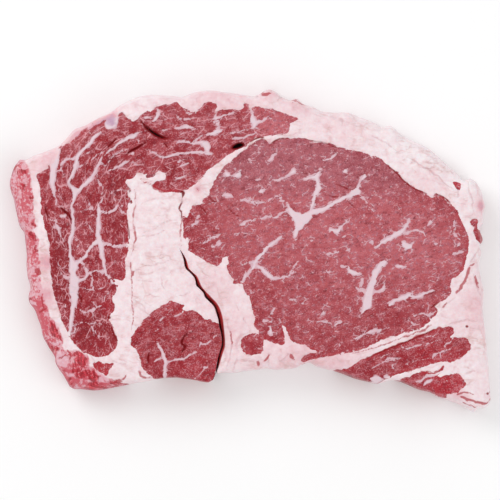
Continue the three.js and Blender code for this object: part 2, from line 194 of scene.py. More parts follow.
CRACK_RIGHT = [  # this side slopes, so its red wall shows from above
    [180, 249, 0.1], [183.1, 254.7, 0.7], [184.8, 259.8, 1.9], [185.7, 264.7, 2.6], [187.2, 268.7, 2.1],
    [190.5, 271.5, 1.3], [195.4, 277, 2.2], [196.7, 280.8, 2.9], [197.5, 284.5, 3.4], [199.6, 287.1, 2.6],
    [204.3, 292, 1.9], [205.8, 295.9, 3.8], [208.9, 299.5, 3.9], [214.6, 305.8, 4.8], [217, 312.2, 5],
    [219, 318.9, 4.6], [220, 325.8, 4.2], [221.8, 332.4, 3.2], [222.8, 339, 2.8], [222.3, 345.8, 3.4],
    [220.4, 352.3, 3], [218.4, 359.2, 2.8], [217, 367, 1.8], [216.4, 371, 1], [217, 374, 1],
]
SEAM = [
    [180, 249], [181.5, 238], [181, 224], [180, 211], [184, 194], [191, 185], [202, 174], [212, 163.5],
    [222, 158], [233, 148.5], [241, 143], [247, 128], [253, 111], [258, 94.5],
]

# ------------------------------------------------ muscles, as closed outlines

EYE = [
    [241.5, 151.5], [247, 147.8], [252, 144], [257.5, 140.8], [262.5, 139], [266, 142], [271, 146],
    [275, 141.5], [280, 139.5], [290, 138.5], [300, 139], [312, 141], [326, 143.5], [338, 147], [352, 151],
    [367, 154.5], [380, 160], [386, 164.5], [392, 169], [398, 174.5], [403, 180.5], [408, 184.5],
    [417, 189.5], [426, 194], [432, 199], [434, 195], [436, 193.5], [440, 195], [446, 199], [451, 203],
    [455, 209], [459, 217], [462, 225], [467.5, 238], [468, 244], [466, 257], [464.5, 264], [462, 270],
    [457, 276], [450, 281.5], [450, 294], [443, 300.5], [434, 306], [437, 310], [431, 319], [423, 326],
    [415.5, 330], [398, 334.3], [388, 336.8], [380.5, 340.3], [366.5, 347.2], [352.5, 351.6], [335.5, 355],
    [318, 357], [301, 361.5], [303, 354.5], [318, 353], [310, 348], [297, 343], [290, 339], [287.5, 333],
    [286, 328], [282.5, 324], [284, 333], [284, 340], [283, 344], [275, 343], [268, 340], [260, 337],
    [258, 331], [254, 325], [255, 319], [251, 309], [250.5, 303], [250, 297], [245, 292], [242, 284],
    [235, 283.5], [232, 279], [229, 273], [228, 262], [228, 255], [226, 256], [223, 259], [221, 264],
    [217, 266.5], [213, 265.5], [207, 261.5], [201, 258], [195, 254], [190, 250.5], [188.5, 246],
    [189, 241], [188, 237], [185, 239.5], [183.5, 235], [184, 231], [182, 220], [183, 217], [187, 217.5],
    [189, 216], [190, 211], [192, 207], [198, 205], [203, 204], [204, 200], [207, 197], [209.5, 195],
    [210, 190], [213, 185], [215, 181], [221, 171], [225, 166], [230, 162], [236, 157],
]
CAP = [
    [61, 147], [66, 145.5], [74, 138.5], [84, 132], [92, 128], [99, 124], [108, 118], [117, 116],
    [122, 113], [128, 118], [133, 121.5], [138, 120], [141, 115.5], [145, 113], [151, 111.5], [160, 106.5],
    [170, 105], [174, 103.3], [177.5, 103], [180, 105], [185, 110], [193, 112], [200, 109], [206, 103],
    [210, 102], [214, 104], [217, 107], [215, 112], [222, 110.3], [228, 109.8], [241, 110.5], [246.3, 104],
    [250.5, 108], [254, 107], [266, 109], [281, 113], [294, 116.5], [297, 118], [296, 121], [288, 124],
    [290, 127], [288, 132], [282, 134.3], [264, 136.8], [254, 140], [247, 144.5], [240, 149], [228, 155.3],
    [220.5, 161.3], [209.5, 169.3], [200.3, 179.3], [191.5, 187.5], [184, 191.3], [159, 190.5], [153, 185],
    [156, 182], [164, 180], [166, 174.5], [159, 171.5], [152, 173.5], [140, 174], [137, 174.5],
    [131.5, 179.5], [126, 181], [128, 190], [129, 205], [128, 222], [129.5, 240], [128, 250], [126, 263],
    [125, 277], [122, 281], [114, 279.5], [118, 285], [116, 291], [113, 299], [115, 306], [110, 320],
    [113, 324], [117, 337], [118, 342], [114, 351], [110, 354], [103, 356.5], [94, 355.5], [87, 353.3],
    [80.5, 349.3], [74.5, 343], [69.5, 335.5], [65, 326], [60, 312], [57.8, 303], [55, 294], [52, 275],
    [51.2, 262], [50.8, 250], [48.8, 240], [45.6, 225], [42.2, 213], [41, 195], [40, 185], [38, 175],
    [43, 172], [49, 168.5], [55, 158],
]
LOBE = [
    [131.5, 343], [134, 334], [139, 327], [145, 320], [150, 314.5], [155, 310], [161, 306], [167, 303],
    [172, 301], [182, 303.5], [184, 306], [182, 310], [186, 311], [192, 309.5], [197, 312], [203, 316],
    [209, 320], [218, 324], [221, 329], [223, 337], [223, 345], [221, 352], [218, 360], [216, 373],
    [214, 384], [195, 384], [176, 382], [156, 380], [150, 373], [143, 368], [142, 362], [140, 356],
    [137, 350], [133, 347],
]
TAIL_UPPER = [
    [332, 378], [336, 371.5], [342, 369.5], [349, 367], [358, 361], [366, 357.5], [375, 352.5], [385, 349],
    [395, 345.5], [405, 341.5], [415, 337.5], [425, 333], [434, 328.5], [440, 328.3], [447, 326.5],
    [452.5, 328], [453, 333], [449, 336], [455, 337.5], [462, 336.3], [467, 339], [469.7, 344],
    [469.5, 349], [465.5, 353.5], [460, 357.5], [453, 361.3], [446, 362], [437, 362.3], [428, 365.5],
    [418, 368.5], [408, 371], [398, 374], [390, 377], [384, 381], [381, 388], [355, 386],
]
TAIL_LOWER = [
    [396, 390], [398, 380.5], [405, 378.3], [412, 375], [420, 372.3], [428, 372.5], [434, 372.5],
    [439, 369.5], [443.5, 365], [444.5, 366], [442, 371], [437, 376.5], [442, 376.3], [448, 374.3],
    [455, 373.3], [460, 375], [463, 378.5], [466.5, 383], [463.5, 386.5], [459.5, 389.5], [456, 392.3],
    [448, 393], [440, 392.5], [432, 391.5], [425, 396], [405, 394],
]
EYE_ISLAND = [
    [252, 333.5], [259, 335.5], [263, 341], [262, 350], [256, 354], [247, 354], [241.5, 348], [242, 339],
    [246, 335],
]
SCRAPS = [  # small bits of lean in the fat at the lower left, and at the right edge
    [[93, 365], [100, 361.5], [106, 363.5], [114.5, 363], [110, 371], [107, 376], [102, 373.5], [97, 370]],
    [[470.4, 219.5], [477.5, 220], [478.8, 228], [482.3, 235], [483.3, 243.5], [478, 241.8], [474, 234],
     [471.8, 228]],
    [[452.7, 183], [459.8, 183.8], [458.6, 190.3], [455, 188.5]],
    [[146, 176], [149, 173.3], [154, 173], [155.5, 175], [151, 177.5], [148, 177.8]],
    [[124, 181], [127, 184.5], [131.5, 191.5], [131, 193.5], [127, 189], [124.5, 185]],
    [[126, 194.5], [129, 196], [132.5, 203], [130, 202]],
]
ISLET = [  # lean inside the cap's main vein
    [78.5, 268.5], [82, 266.5], [84.3, 269.5], [84.3, 274.5], [80.5, 277.7], [77, 274.5], [76.5, 271.5],
]
MUSCLES = [EYE, CAP, LOBE, TAIL_UPPER, TAIL_LOWER, EYE_ISLAND, *SCRAPS]

# ------------------------------------------------ marbling: ([widths along the vein], its path)

CAP_VEINS = [
    ([11, 9, 7, 5.8, 3.5, 1.2, 0.8], [[55.3, 150], [55, 160], [54.3, 170], [53.5, 180], [53.7, 190],
     [55, 198], [57, 204]]),
    ([2.4, 4, 4.4, 4, 4, 4.4, 4.4, 3.8, 3.6, 3.2, 4, 6, 4.6, 3, 3.2, 3.6, 3.6, 4.4, 4.4, 3.2, 4.6, 8, 8.2,
     10.2, 9.8, 8.2, 6.2, 4.4, 4.4, 4, 3.6], [[99.5, 133.5], [95.5, 136.5], [91.5, 142], [86.5, 147],
     [82, 152], [78.5, 158], [77, 163.5], [75.6, 169], [72.5, 176], [70, 182], [72, 188], [75, 193],
     [74.8, 198], [73, 205], [72.6, 212], [73.8, 220], [73.8, 228], [72.8, 234], [70.3, 241], [70.6, 250],
     [71.8, 258], [73.9, 265], [74.1, 272], [74.9, 280], [75.2, 288], [74.8, 296], [74.2, 303], [73, 310],
     [72.5, 318], [71.5, 326], [70, 334]]),
    ([1.4], [[95, 137], [91.5, 134.5], [89.5, 131]]),
    ([1.4], [[99, 134], [101, 131], [101, 126.5]]),
    ([2.4, 2.2, 2.2, 1.6, 1.2], [[76, 158], [70, 159.5], [65, 160.5], [62, 165], [61, 170], [57, 173]]),
    ([1.2], [[61, 170], [64, 174], [68, 178]]),
    ([2.4, 2, 1.2], [[76, 166.5], [80, 167.5], [84, 165]]),
    ([6, 5, 4, 4.4, 3, 3.2, 3, 2.4, 1.2, 1.4, 2.6, 2.8, 3.2, 3.8, 4.6, 1.6, 1], [[76, 191.5], [80, 189.7],
     [84.5, 185.7], [88.7, 181.7], [92.5, 178.5], [95, 174], [97.3, 170], [99, 165], [101.5, 160.5],
     [104, 156], [109, 151.5], [115, 148.5], [119, 144], [124, 141], [130, 138], [135, 136], [139, 132.5],
     [146, 131.5]]),
    ([1.6, 1.2], [[135, 135], [137.5, 139], [140, 144]]),
    ([1.4], [[101, 160], [106, 166], [109, 163], [112, 158.5], [119, 153.5], [128, 150]]),
    ([1.1], [[83, 169], [88, 163], [94, 159], [99, 155], [105, 151]]),
    ([1], [[82, 156], [88, 154], [95, 150], [101, 146]]),
    ([1.4, 1.6, 1.6, 3.2, 2, 1.4, 1.4, 1.4, 2.4, 4, 4.2, 4.2, 4.6, 5, 6, 5, 4, 3.8, 3.8, 3, 2.6, 2.6, 3.4],
     [[98.5, 165], [98.5, 170], [98.3, 176], [100, 183.5], [102.5, 186], [103.5, 190], [102.3, 194],
     [102, 200], [100, 205], [99.3, 210], [99.4, 217], [99.5, 224], [99.3, 231], [99, 237], [100, 242],
     [102.3, 247], [102.8, 253], [103.8, 260], [104.3, 267], [106.4, 272], [109.3, 277], [113, 282.3],
     [121, 284]]),
    ([3, 3, 2.8, 2.4, 1.4], [[100, 212], [106, 212.3], [111, 211.3], [116, 208.5], [119, 206.5],
     [124, 206]]),
    ([1], [[119, 206], [122, 211], [127, 214.5]]),
    ([3, 2.4, 2.6, 3, 2.6, 3], [[102, 243], [108, 244.5], [113, 245.7], [118, 246.5], [123, 245.7],
     [129, 246]]),
    ([5, 3.2, 3.4, 3.4, 3.4, 5], [[97.5, 242], [93, 244.5], [90, 249], [87, 253.5], [84, 258],
     [79.5, 261.5], [73, 264]]),
    ([3, 2.2, 2.2, 3], [[80.5, 262], [85.3, 265.5], [86.6, 270], [87.5, 274]]),
    ([3, 3, 4], [[88, 274], [85, 278], [80, 280.5], [76, 281]]),
    ([3, 2.2, 2, 2.2], [[87, 274.5], [92, 272.3], [98, 271.2], [105, 271.5]]),
    ([1, 1.5, 1, 0.8], [[91, 273], [92.5, 280], [93, 287], [93.5, 294]]),
    ([1, 1.4, 1], [[84, 286], [87, 290], [92, 290.5]]),
    ([1, 1.4, 1], [[95, 289.5], [101, 289], [107, 286.5]]),
    ([1], [[109, 290], [106, 296], [103, 301]]),
    ([2.4, 1.6, 1.8, 1.8, 1.8, 1.2], [[75, 304], [78, 308.5], [84, 311.2], [91, 311.3], [96, 308.5],
     [101, 306]]),
    ([1.2], [[98, 307], [94, 303], [91, 300]]),
    ([0.9], [[93, 311], [94, 316], [97, 321]]),
    ([1.6, 1, 1.1, 1, 1.1, 0.9], [[73, 325], [79, 324], [85, 322], [91, 324.5], [97, 322.5], [102, 323]]),
    ([0.9], [[92, 327], [96, 333], [100, 338]]),
    ([1.4], [[75, 324], [75.5, 331], [71, 335]]),
    ([1.6], [[66, 304], [66.5, 308]]),
    ([1, 2, 3, 1.4], [[56.5, 220], [57.5, 225], [57.5, 229], [60, 233]]),
    ([2], [[54, 228], [61, 229]]),
    ([1.4, 1, 0.8], [[60, 232], [63, 238], [66, 245], [67, 248]]),
    ([0.9], [[49, 220], [53, 221], [58, 220]]),
    ([1], [[59, 188], [61, 197], [66, 204], [66, 210], [72, 213]]),
    ([2.4, 3, 1], [[62, 217], [65, 216], [67, 214]]),
    ([1, 1.1, 1.4, 2], [[58, 262], [60.5, 268], [63, 275], [69, 277.5]]),
    ([1.4], [[88, 198], [90, 206], [93, 212], [97, 217]]),
    ([0.9, 1.6, 1.6, 0.9], [[79, 213], [84, 211.5], [90, 210], [93, 208]]),
    ([1.4], [[86, 219], [90, 226], [94, 231.5], [98, 234]]),
    ([1], [[73, 238], [78, 242], [79, 245], [75, 250]]),
    ([0.9], [[113, 192], [113, 198], [117, 200.5]]),
    ([1.2, 2.4, 2.4, 1.6, 1.2], [[108, 171], [112, 169.5], [117, 167.5], [123, 165], [129, 161], [136, 164],
     [142, 166.5]]),
    ([1], [[132, 191.5], [124, 191], [117, 190], [111, 193.5]]),
    ([1], [[113, 199.5], [118, 200.5], [124, 199], [130, 200]]),
    ([2, 4, 2], [[131.5, 154.5], [136, 155]]),
    ([2, 3.6, 4.6, 3.4, 1.6], [[158.5, 110.5], [158, 114], [157, 118], [154, 120.5], [152, 121]]),
    ([1, 2.6, 2.4], [[144, 119], [147, 118.3], [150.5, 117.8]]),
    ([1.5], [[184, 111], [188, 113.6], [193, 113], [200, 110]]),
    ([1.6], [[176, 116], [181, 119.6], [187, 120], [196, 117.5]]),
    ([1.2, 1.8, 4, 3, 1], [[175, 128.3], [181, 128], [187, 126.6], [190, 127.3], [195, 129]]),
    ([1.2, 2.2, 1], [[157, 131.5], [163, 131], [168, 131]]),
    ([0.8], [[180, 135], [186, 132.5], [193, 131.5]]),
    ([1.4, 2.6, 2.6, 2.8, 2.8, 3.4], [[176, 143.5], [181, 142], [187, 141.8], [193, 142.8], [199, 143],
     [203, 143.3]]),
    ([2.2, 1.8, 1], [[193, 142], [197, 138.5], [202, 136]]),
    ([2.6, 7, 7.6, 5, 4], [[202, 141.5], [205, 144], [206.7, 147], [207, 150.5], [209, 153.5]]),
    ([1.6, 2, 2.6, 2.4, 2.8, 2.4, 2.4, 2.4, 3, 3.4, 1.4], [[151, 152.5], [155, 153], [159, 156],
     [164, 157.6], [170, 157], [178, 154.8], [186, 153.8], [192, 153], [200, 153.3], [207, 154],
     [213, 153.3]]),
    ([1, 2, 1.8], [[178, 164], [180, 166.3], [185, 165], [190, 162.5]]),
    ([1.2], [[178, 163], [182, 160.5], [188, 160]]),
    ([0.8, 1.4, 3, 1.4, 0.8], [[171, 175], [176, 178.6], [180, 179], [185, 177], [190, 175.5]]),
    ([0.9], [[177, 179], [174, 183], [172, 187]]),
    ([3.4, 2.4, 2.2, 1.8, 1.8, 1.2], [[215, 118.7], [219, 118], [224, 116.5], [229, 115], [234, 113.7],
     [239, 113]]),
    ([1.6, 2.6, 2.4, 3.4, 2.4, 3], [[217, 113], [216, 117], [217, 121], [219, 125], [218, 129],
     [218, 133]]),
    ([1.4, 3], [[211, 121.5], [217, 125]]),
    ([2, 4, 5.4, 4, 2], [[207, 135], [211, 134.8], [215, 134.3], [219, 132], [222, 131]]),
    ([1.4, 2, 2, 1.8, 2], [[222, 132], [230, 133.5], [238, 132.8], [246, 130.6], [252, 129], [259, 128.8]]),
    ([1.2, 2, 1.2], [[234, 139], [243, 138.3], [250, 136], [257, 133.5]]),
    ([2, 2.4, 3.4, 6.4, 5, 3], [[250.5, 108], [251.7, 114], [252.3, 119], [254.5, 123.5], [254, 128]]),
    ([4.6, 2.4, 2, 1.2], [[255.5, 122.8], [261, 121], [267, 118.8], [271, 118.3]]),
    ([0.8], [[264, 113], [270, 113], [277, 115]]),
]
CAP_KNOT = [  # a purplish knot of fat
    [107, 116], [112, 109], [118, 115], [118.3, 122], [117, 128], [112, 130.5], [107, 128.5], [105.7, 122],
]
LOBE_VEINS = [
    ([2, 3, 3.4, 4, 3.4, 3, 3.4], [[157.5, 341], [160, 346], [163, 350], [165, 356], [167, 362],
     [165.5, 369], [165, 377]]),
    ([1.8], [[164, 357], [158, 359], [154, 362]]),
    ([2], [[168, 362], [174, 359], [181, 358.5], [187, 357], [192, 353], [197, 351.5]]),
    ([1.6], [[199, 345], [201, 340]]),
    ([1.6], [[200, 343], [207, 343], [211, 340]]),
    ([1.6], [[213, 338], [217, 335]]),
    ([1.6], [[157, 319], [162, 318.5], [167, 314], [172, 310]]),
    ([1.4], [[175, 316], [184, 311]]),
    ([1.4], [[148, 333], [155, 332], [160, 329]]),
    ([0.9], [[194, 379], [199, 374], [204, 367]]),
    ([2.6, 2], [[204.5, 366], [207, 367]]),
]
EYE_VEINS = [
    ([2, 3, 4.4, 4.6, 3, 2], [[303.5, 178.5], [308, 177.8], [313, 178], [317, 175.5], [319, 172.5],
     [320.5, 169.5]]),
    ([4.6, 4.4, 5, 6, 5, 4, 4, 4], [[315, 177], [317.5, 181], [318.6, 185], [318.3, 189], [315.7, 193],
     [314, 199], [312.3, 206], [310, 212]]),
    ([3.6, 2, 1], [[319.5, 185.5], [321.5, 189], [321, 192.5]]),
    ([8, 4, 5.5, 5, 6, 6], [[356.5, 191.5], [349, 196], [341, 200], [333, 204], [327, 207], [320, 210],
     [312, 213], [304, 217]]),
    ([1.6, 1.4, 1.2], [[360, 194], [363, 199], [365.6, 203]]),
    ([1.4, 1], [[365.6, 203], [370, 208], [373, 213]]),
    ([4, 2.6, 2.6, 4.6, 2], [[357, 189], [358.4, 183.5], [360.5, 179.5], [363.8, 176], [362.7, 172]]),
    ([2.4, 1.2], [[364, 176], [367.5, 174.5]]),
    ([1.2, 3.6, 7, 10, 12, 9], [[287, 203.5], [288.5, 208.5], [292, 213.5], [297, 217], [303, 219],
     [308, 216]]),
    ([12, 8, 5, 6, 4], [[301, 220], [299.5, 225.5], [296.5, 229.5], [295.8, 233], [294, 235.5]]),
    ([2.2, 1.6, 2.8, 1.4, 2, 2, 3.4, 2], [[288, 210.5], [281, 213.5], [275, 218], [269, 217.5],
     [261, 218.3], [253, 220], [245, 223.8], [241, 225.2]]),
    ([1.4], [[267, 217], [264.5, 213.5], [263.5, 211]]),
    ([2, 4, 5, 4.4, 2.4, 3], [[282, 236.3], [277, 240], [271, 245], [266, 249], [262, 254.5], [258, 259.5],
     [255, 264], [253, 268], [249, 273], [244, 278], [241, 282]]),
    ([2.4, 1.6], [[255, 263], [249, 263], [241, 265]]),
    ([3, 4, 4.6, 2, 2.4, 2.4, 1.4], [[257, 266.5], [262, 268.5], [266, 272], [270, 276], [275, 278],
     [280, 278.3], [285, 277], [291, 273.5], [294, 271]]),
    ([1.4], [[285, 276], [289, 271], [293, 267], [298, 262]]),
    ([3.4, 4.6, 4, 2.4, 3, 1.2], [[330, 231], [337, 231.3], [340, 228.5], [342.5, 224], [345, 221.5],
     [347, 220]]),
    ([1.4], [[343, 224], [347, 222.3], [350, 223]]),
    ([1.3, 1.6, 1.2, 1.4, 1.2, 1], [[342, 237.5], [348, 237], [353, 239], [358, 243], [364, 242],
     [372.7, 244.5]]),
    ([2.2, 2.2, 1.6, 1], [[327, 253.5], [333, 252.8], [340.7, 251.3], [348.7, 249.6]]),
    ([1.2, 0.8], [[322, 268], [328, 272], [331, 270]]),
    ([1.6, 2, 4.6, 5, 3.4, 1.4], [[340.5, 266], [346.5, 266.5], [349.5, 270], [353, 271.8], [358, 272.6],
     [362, 273.5]]),
    ([1.8, 1], [[350, 272], [345, 275], [341, 277.5]]),
    ([2, 4, 5, 6, 3.6, 2, 1], [[375.3, 246.9], [381.6, 242.6], [390.4, 238], [397, 234], [400.5, 231],
     [405.2, 226], [408.5, 220.5], [409.5, 216.5]]),
    ([2, 1.8, 1.6, 2.6, 1.6, 1], [[401, 233.5], [406.4, 232.6], [411, 230.8], [415.3, 230], [420.7, 231.8],
     [424, 234.5], [425.5, 237]]),
    ([1.2], [[421, 231.5], [425, 234.3], [428.7, 233.6]]),
    ([1.8, 1.2], [[370.5, 241.5], [374, 246]]),
    ([2, 7, 5, 1.4], [[401.5, 241.5], [405.5, 245.3], [409, 246.5], [412.5, 242.5]]),
    ([5, 2.4, 1.2], [[406, 246], [405, 250], [404.3, 252.3]]),
    ([5, 6, 7, 7, 7, 8, 9, 9, 5, 2], [[384, 262], [379.5, 266], [376, 271], [373.5, 278], [371.5, 285],
     [369, 292], [367.3, 298], [366.3, 303], [363.5, 309], [360.8, 313.5]]),
    ([2.4, 1.8, 1.6], [[362, 280.5], [360.7, 287], [364, 292]]),
    ([1.6], [[356.5, 288], [361, 290.5], [366, 292]]),
    ([2, 2.4, 2.2], [[370, 292], [378, 290.5], [382.5, 288.5], [384.3, 283.5]]),
    ([3.4, 4, 5, 5, 2.8, 3.6, 4, 3, 1.6], [[389, 305.5], [393.5, 301], [399, 298], [404, 296.3],
     [409, 295.3], [413, 297.3], [419, 296], [425, 293], [430, 291.5], [434.5, 290.5]]),
    ([3.4], [[396.7, 266.7], [404.5, 267.2]]),
    ([1.2, 1.6, 1.4, 2, 1.4], [[413, 315.3], [419, 313.5], [423, 313.5], [427, 315.5], [431, 313],
     [435, 311]]),
    ([2.4], [[411, 322.3], [412, 323]]),
    ([2, 3, 2.4, 3, 2.4, 3.4], [[353.5, 338.5], [359, 335.5], [364, 333.5], [370, 331], [375, 331],
     [381, 330]]),
    ([1.6, 1], [[356, 337], [358, 333], [358.6, 329.5]]),
    ([1.8], [[285, 297.5], [291, 299], [297, 300.5], [304, 303]]),
    ([1.2], [[267, 319], [270, 315], [274, 309]]),
    ([1.2, 2.2, 1.4], [[260, 321.5], [265, 320.8], [272, 321.5], [279, 323]]),
    ([2.6, 4], [[270, 327], [270, 333]]),
    ([1, 1.6, 1], [[316, 321.5], [322, 321], [329, 321.5]]),
    ([1.8, 2.6, 2], [[331, 325], [336, 323.5], [340, 321.5]]),
    ([1, 2.6, 1.4], [[320, 314], [322.5, 312], [325, 309]]),
    ([1, 1.4, 2.6, 1], [[424, 229.5], [426.5, 226.5], [430.5, 221.3], [435, 217.5]]),
    ([1.6, 1], [[433, 244.5], [437, 243.5], [439, 245]]),
    ([1, 1.2, 2, 1.4], [[453.4, 221.5], [453.6, 227], [452.3, 233.5], [455.5, 236.5]]),
    ([1.2, 1.2], [[452.7, 235], [457, 238.5], [460, 239.5]]),
    ([1.8, 3, 1.2], [[454.5, 247.8], [457, 246], [459.5, 243.5]]),
    ([2.2, 1.4], [[452.5, 253.2], [457, 252.7], [461, 252.5]]),
    ([2.2], [[433, 267], [434, 269.5]]),
    ([1.8], [[449, 271], [450, 274.5]]),
    ([1.4], [[236.7, 235.8], [242, 234], [249, 233.4], [254, 234]]),
    ([4.6], [[342, 353.5], [342, 355.5]]),
    ([1.2, 2.8, 2, 1], [[268.3, 162.3], [271.5, 159.6], [273.6, 156], [275.3, 152.5]]),
    ([1.6], [[258.7, 152], [259.4, 154.5]]),
    ([2.4, 3, 2.4, 1.2], [[323, 160], [328, 160.5], [331.5, 158], [336, 154]]),
    ([1, 1.6, 2.4, 1.4, 2, 4, 2], [[273, 181], [277, 180.5], [280, 179.3], [284, 177], [289, 175.3],
     [293.3, 172], [293.5, 168.5]]),
    ([1.2, 2], [[257, 180.8], [260, 180.5]]),
    ([2], [[269.5, 180.3], [271, 181]]),
    ([4.6], [[345, 171.5], [346.5, 172]]),
    ([1.4, 3, 1.6], [[250, 159.3], [250.7, 161.6], [252.7, 162.5]]),
    ([2], [[255, 145.5], [256, 146]]),
    ([4.8], [[261, 192], [262, 192.8]]),
    ([2.4, 1.4, 1], [[263, 191], [266, 189], [269, 188]]),
    ([1, 1.6], [[257.5, 187], [261, 187.5], [265, 187.4]]),
    ([1.4, 2, 2, 3.4, 2.6, 1.4], [[241, 200.5], [246, 200], [251, 200.8], [257, 202.6], [262, 203.4],
     [267, 202.8]]),
    ([1.4, 1], [[251.5, 200.5], [249.3, 197.5], [248.5, 195.5]]),
    ([1.6, 4, 4.6, 1.4], [[225, 170.5], [226.5, 173.5], [229, 175.3], [231.5, 176]]),
    ([2.4, 1], [[226.5, 176], [224.5, 180], [223.5, 182.5]]),
    ([1.6, 4, 6, 3], [[240.7, 169.8], [239.5, 173], [238, 175.6], [234.5, 177.3]]),
    ([2.6, 1.4], [[239, 177], [240.7, 178.8]]),
    ([1.4, 2.6, 3, 2], [[219.8, 194.2], [223, 195], [228, 196.6], [232, 197.2]]),
    ([0.8, 0.8, 1.8, 1.2], [[269.5, 201.5], [271.5, 198.8], [275, 197.7], [279.4, 199.5], [283, 202.3]]),
    ([2], [[279.5, 199], [281, 196.5]]),
    ([0.9, 2, 2.2, 1.4], [[202.4, 243], [207, 240.3], [213, 238], [218, 235.5], [220.5, 233.8]]),
    ([2.6, 2, 1], [[211, 246.5], [215, 245.8], [218.8, 242.5], [220, 240.5]]),
    ([2.4], [[219, 243.5], [222, 245.5]]),
    ([2.4, 1.6, 1], [[193, 227], [195.5, 223.5], [197.5, 219.5], [198.5, 216.5]]),
    ([1], [[200.5, 219], [201, 221.5]]),
    ([2], [[311.5, 239.5], [312.7, 240]]),
    ([1.4], [[297, 238.5], [299, 239.3]]),
]
TAIL_VEINS = [
    ([1, 1.6, 1.4, 1], [[385, 360.5], [389, 358], [395, 358], [400, 356.5]]),
    ([1.8, 1.2, 1.2], [[392.5, 368], [393, 364.5], [398, 362]]),
    ([1, 1.8, 1.6, 1.2], [[401, 345.5], [406, 347.5], [412, 347], [420, 344.5]]),
    ([1, 1.8, 1.6, 1.8, 1], [[432, 359], [434, 355], [440, 352], [444, 350.5], [449, 349.5]]),
    ([1.2, 1.6, 1.2, 1.2], [[444, 347], [446.5, 343.5], [450, 341.5], [452, 338]]),
    ([0.8, 1.4, 0.8], [[424, 346], [432, 342.5], [440, 339.5]]),
    ([1], [[440, 357], [441, 352]]),
    ([0.8, 1.2, 0.8], [[440, 381.5], [444, 379.5], [447, 381]]),
    ([0.8], [[370, 368], [384, 362], [396, 359]]),
    ([0.8], [[404, 364], [418, 361], [428, 358]]),
    ([0.8], [[380, 357], [394, 351], [402, 349]]),
    ([0.8], [[418, 339], [430, 335.5], [446, 332]]),
    ([4, 8, 8, 4], [[371, 379], [375, 378.5], [378, 379.5], [381, 380]]),
    ([2, 4, 2], [[384, 376.5], [388, 376]]),
    ([1.2, 2.4, 2.4, 3.2, 2.2, 2.8], [[417, 382], [421, 379], [426, 376], [431, 375.2], [437, 373.3],
     [445, 370]]),
    ([2.4, 4, 2.6], [[423.5, 384.5], [427, 382], [430.5, 380]]),
]
VEINS = [*CAP_VEINS, *LOBE_VEINS, *EYE_VEINS, *TAIL_VEINS]

# ------------------------------------------------ splits and painted shadow lines, (width, depth in mm, path), and stains

GASHES_AND_SHADE_LINES = [
    (3.8, 3, [[141, 121.5], [145, 126], [150, 130.5], [155, 134], [160, 136.8], [165, 138.6],
     [171, 138.6]]),
    (2, 1.6, [[127, 155], [131, 151.5], [136, 149], [141, 146], [147, 142.5]]),
    (1.5, 1, [[108, 148], [112, 144], [117, 138.5]]),
    (2.4, 1.6, [[61, 207.5], [65, 211], [69, 214.5], [72.5, 222]]),
    (1.8, 1, [[46, 206.5], [47, 212], [49.5, 218]]),
    (2, 0.8, [[78, 293.5], [81.5, 298], [82.5, 302.5]]),
    (0.9, 0.3, [[126, 217], [128.5, 227], [130, 239]]),
    (1.6, 1.6, [[188, 332.5], [184, 337], [182, 343], [185.5, 346], [184, 349], [182, 352]]),
    (1.6, 1.2, [[149.5, 352], [148.5, 358], [149, 363]]),
    (1.2, 0.6, [[112, 327], [114, 333], [117, 340]]),
    (2.4, 0.8, [[108, 317], [111, 317.5]]),
    (6, 4, [[231.5, 149], [236, 146.8], [240, 145.5], [245, 145.3]]),
    (1.2, 0.4, [[209, 196], [213, 201], [220, 204]]),
    (1.2, 0.4, [[199, 205], [204, 210], [208, 215]]),
    (0.9, 0.3, [[227, 206], [231, 211], [236, 215], [240, 217]]),
    (0.9, 0.3, [[327, 195], [332, 197], [338, 197]]),
    (0.9, 0.3, [[335, 184], [343, 187], [350, 191]]),
    (0.9, 0.3, [[347, 201], [351, 205], [355, 208]]),
    (0.7, 0.5, [[366, 358], [385, 349.5], [402, 343], [418, 336.5], [434, 329]]),
    (1.2, 0.8, [[164.5, 143], [168, 148]]),
    (2.6, 1, [[180, 191.5], [183.5, 193], [183, 197]]),
    (1.1, 0.6, [[183, 197], [182, 203], [179.5, 208.5], [182, 213], [181.5, 219]]),
    # painted shadow lines along the eye's upper rim, where the lean lies just below the fat: shallow grooves
    # painted dark red
    (1, 0.5, [[250, 142.5], [257, 138.6], [262, 137.8], [266, 141.5]]),
    (0.8, 0.3, [[269, 147], [273, 142.5], [279, 139.5], [290, 138.5]]),
    (0.7, 0.3, [[308, 140.5], [325, 143.5], [332, 146.5], [340, 149]]),
    (0.8, 0.3, [[386, 165], [392, 170], [398, 175.5], [404, 182], [412, 188], [426, 194]]),
    (0.7, 0.3, [[435, 194], [442, 197], [449, 202]]),
    (1.2, 0.6, [[430, 308], [434, 305], [438, 302]]),
    (2, 0.3, [[465.3, 326], [467, 326.4]]),
    (1.8, 0.3, [[486.5, 393.2], [488, 393.6]]),
]
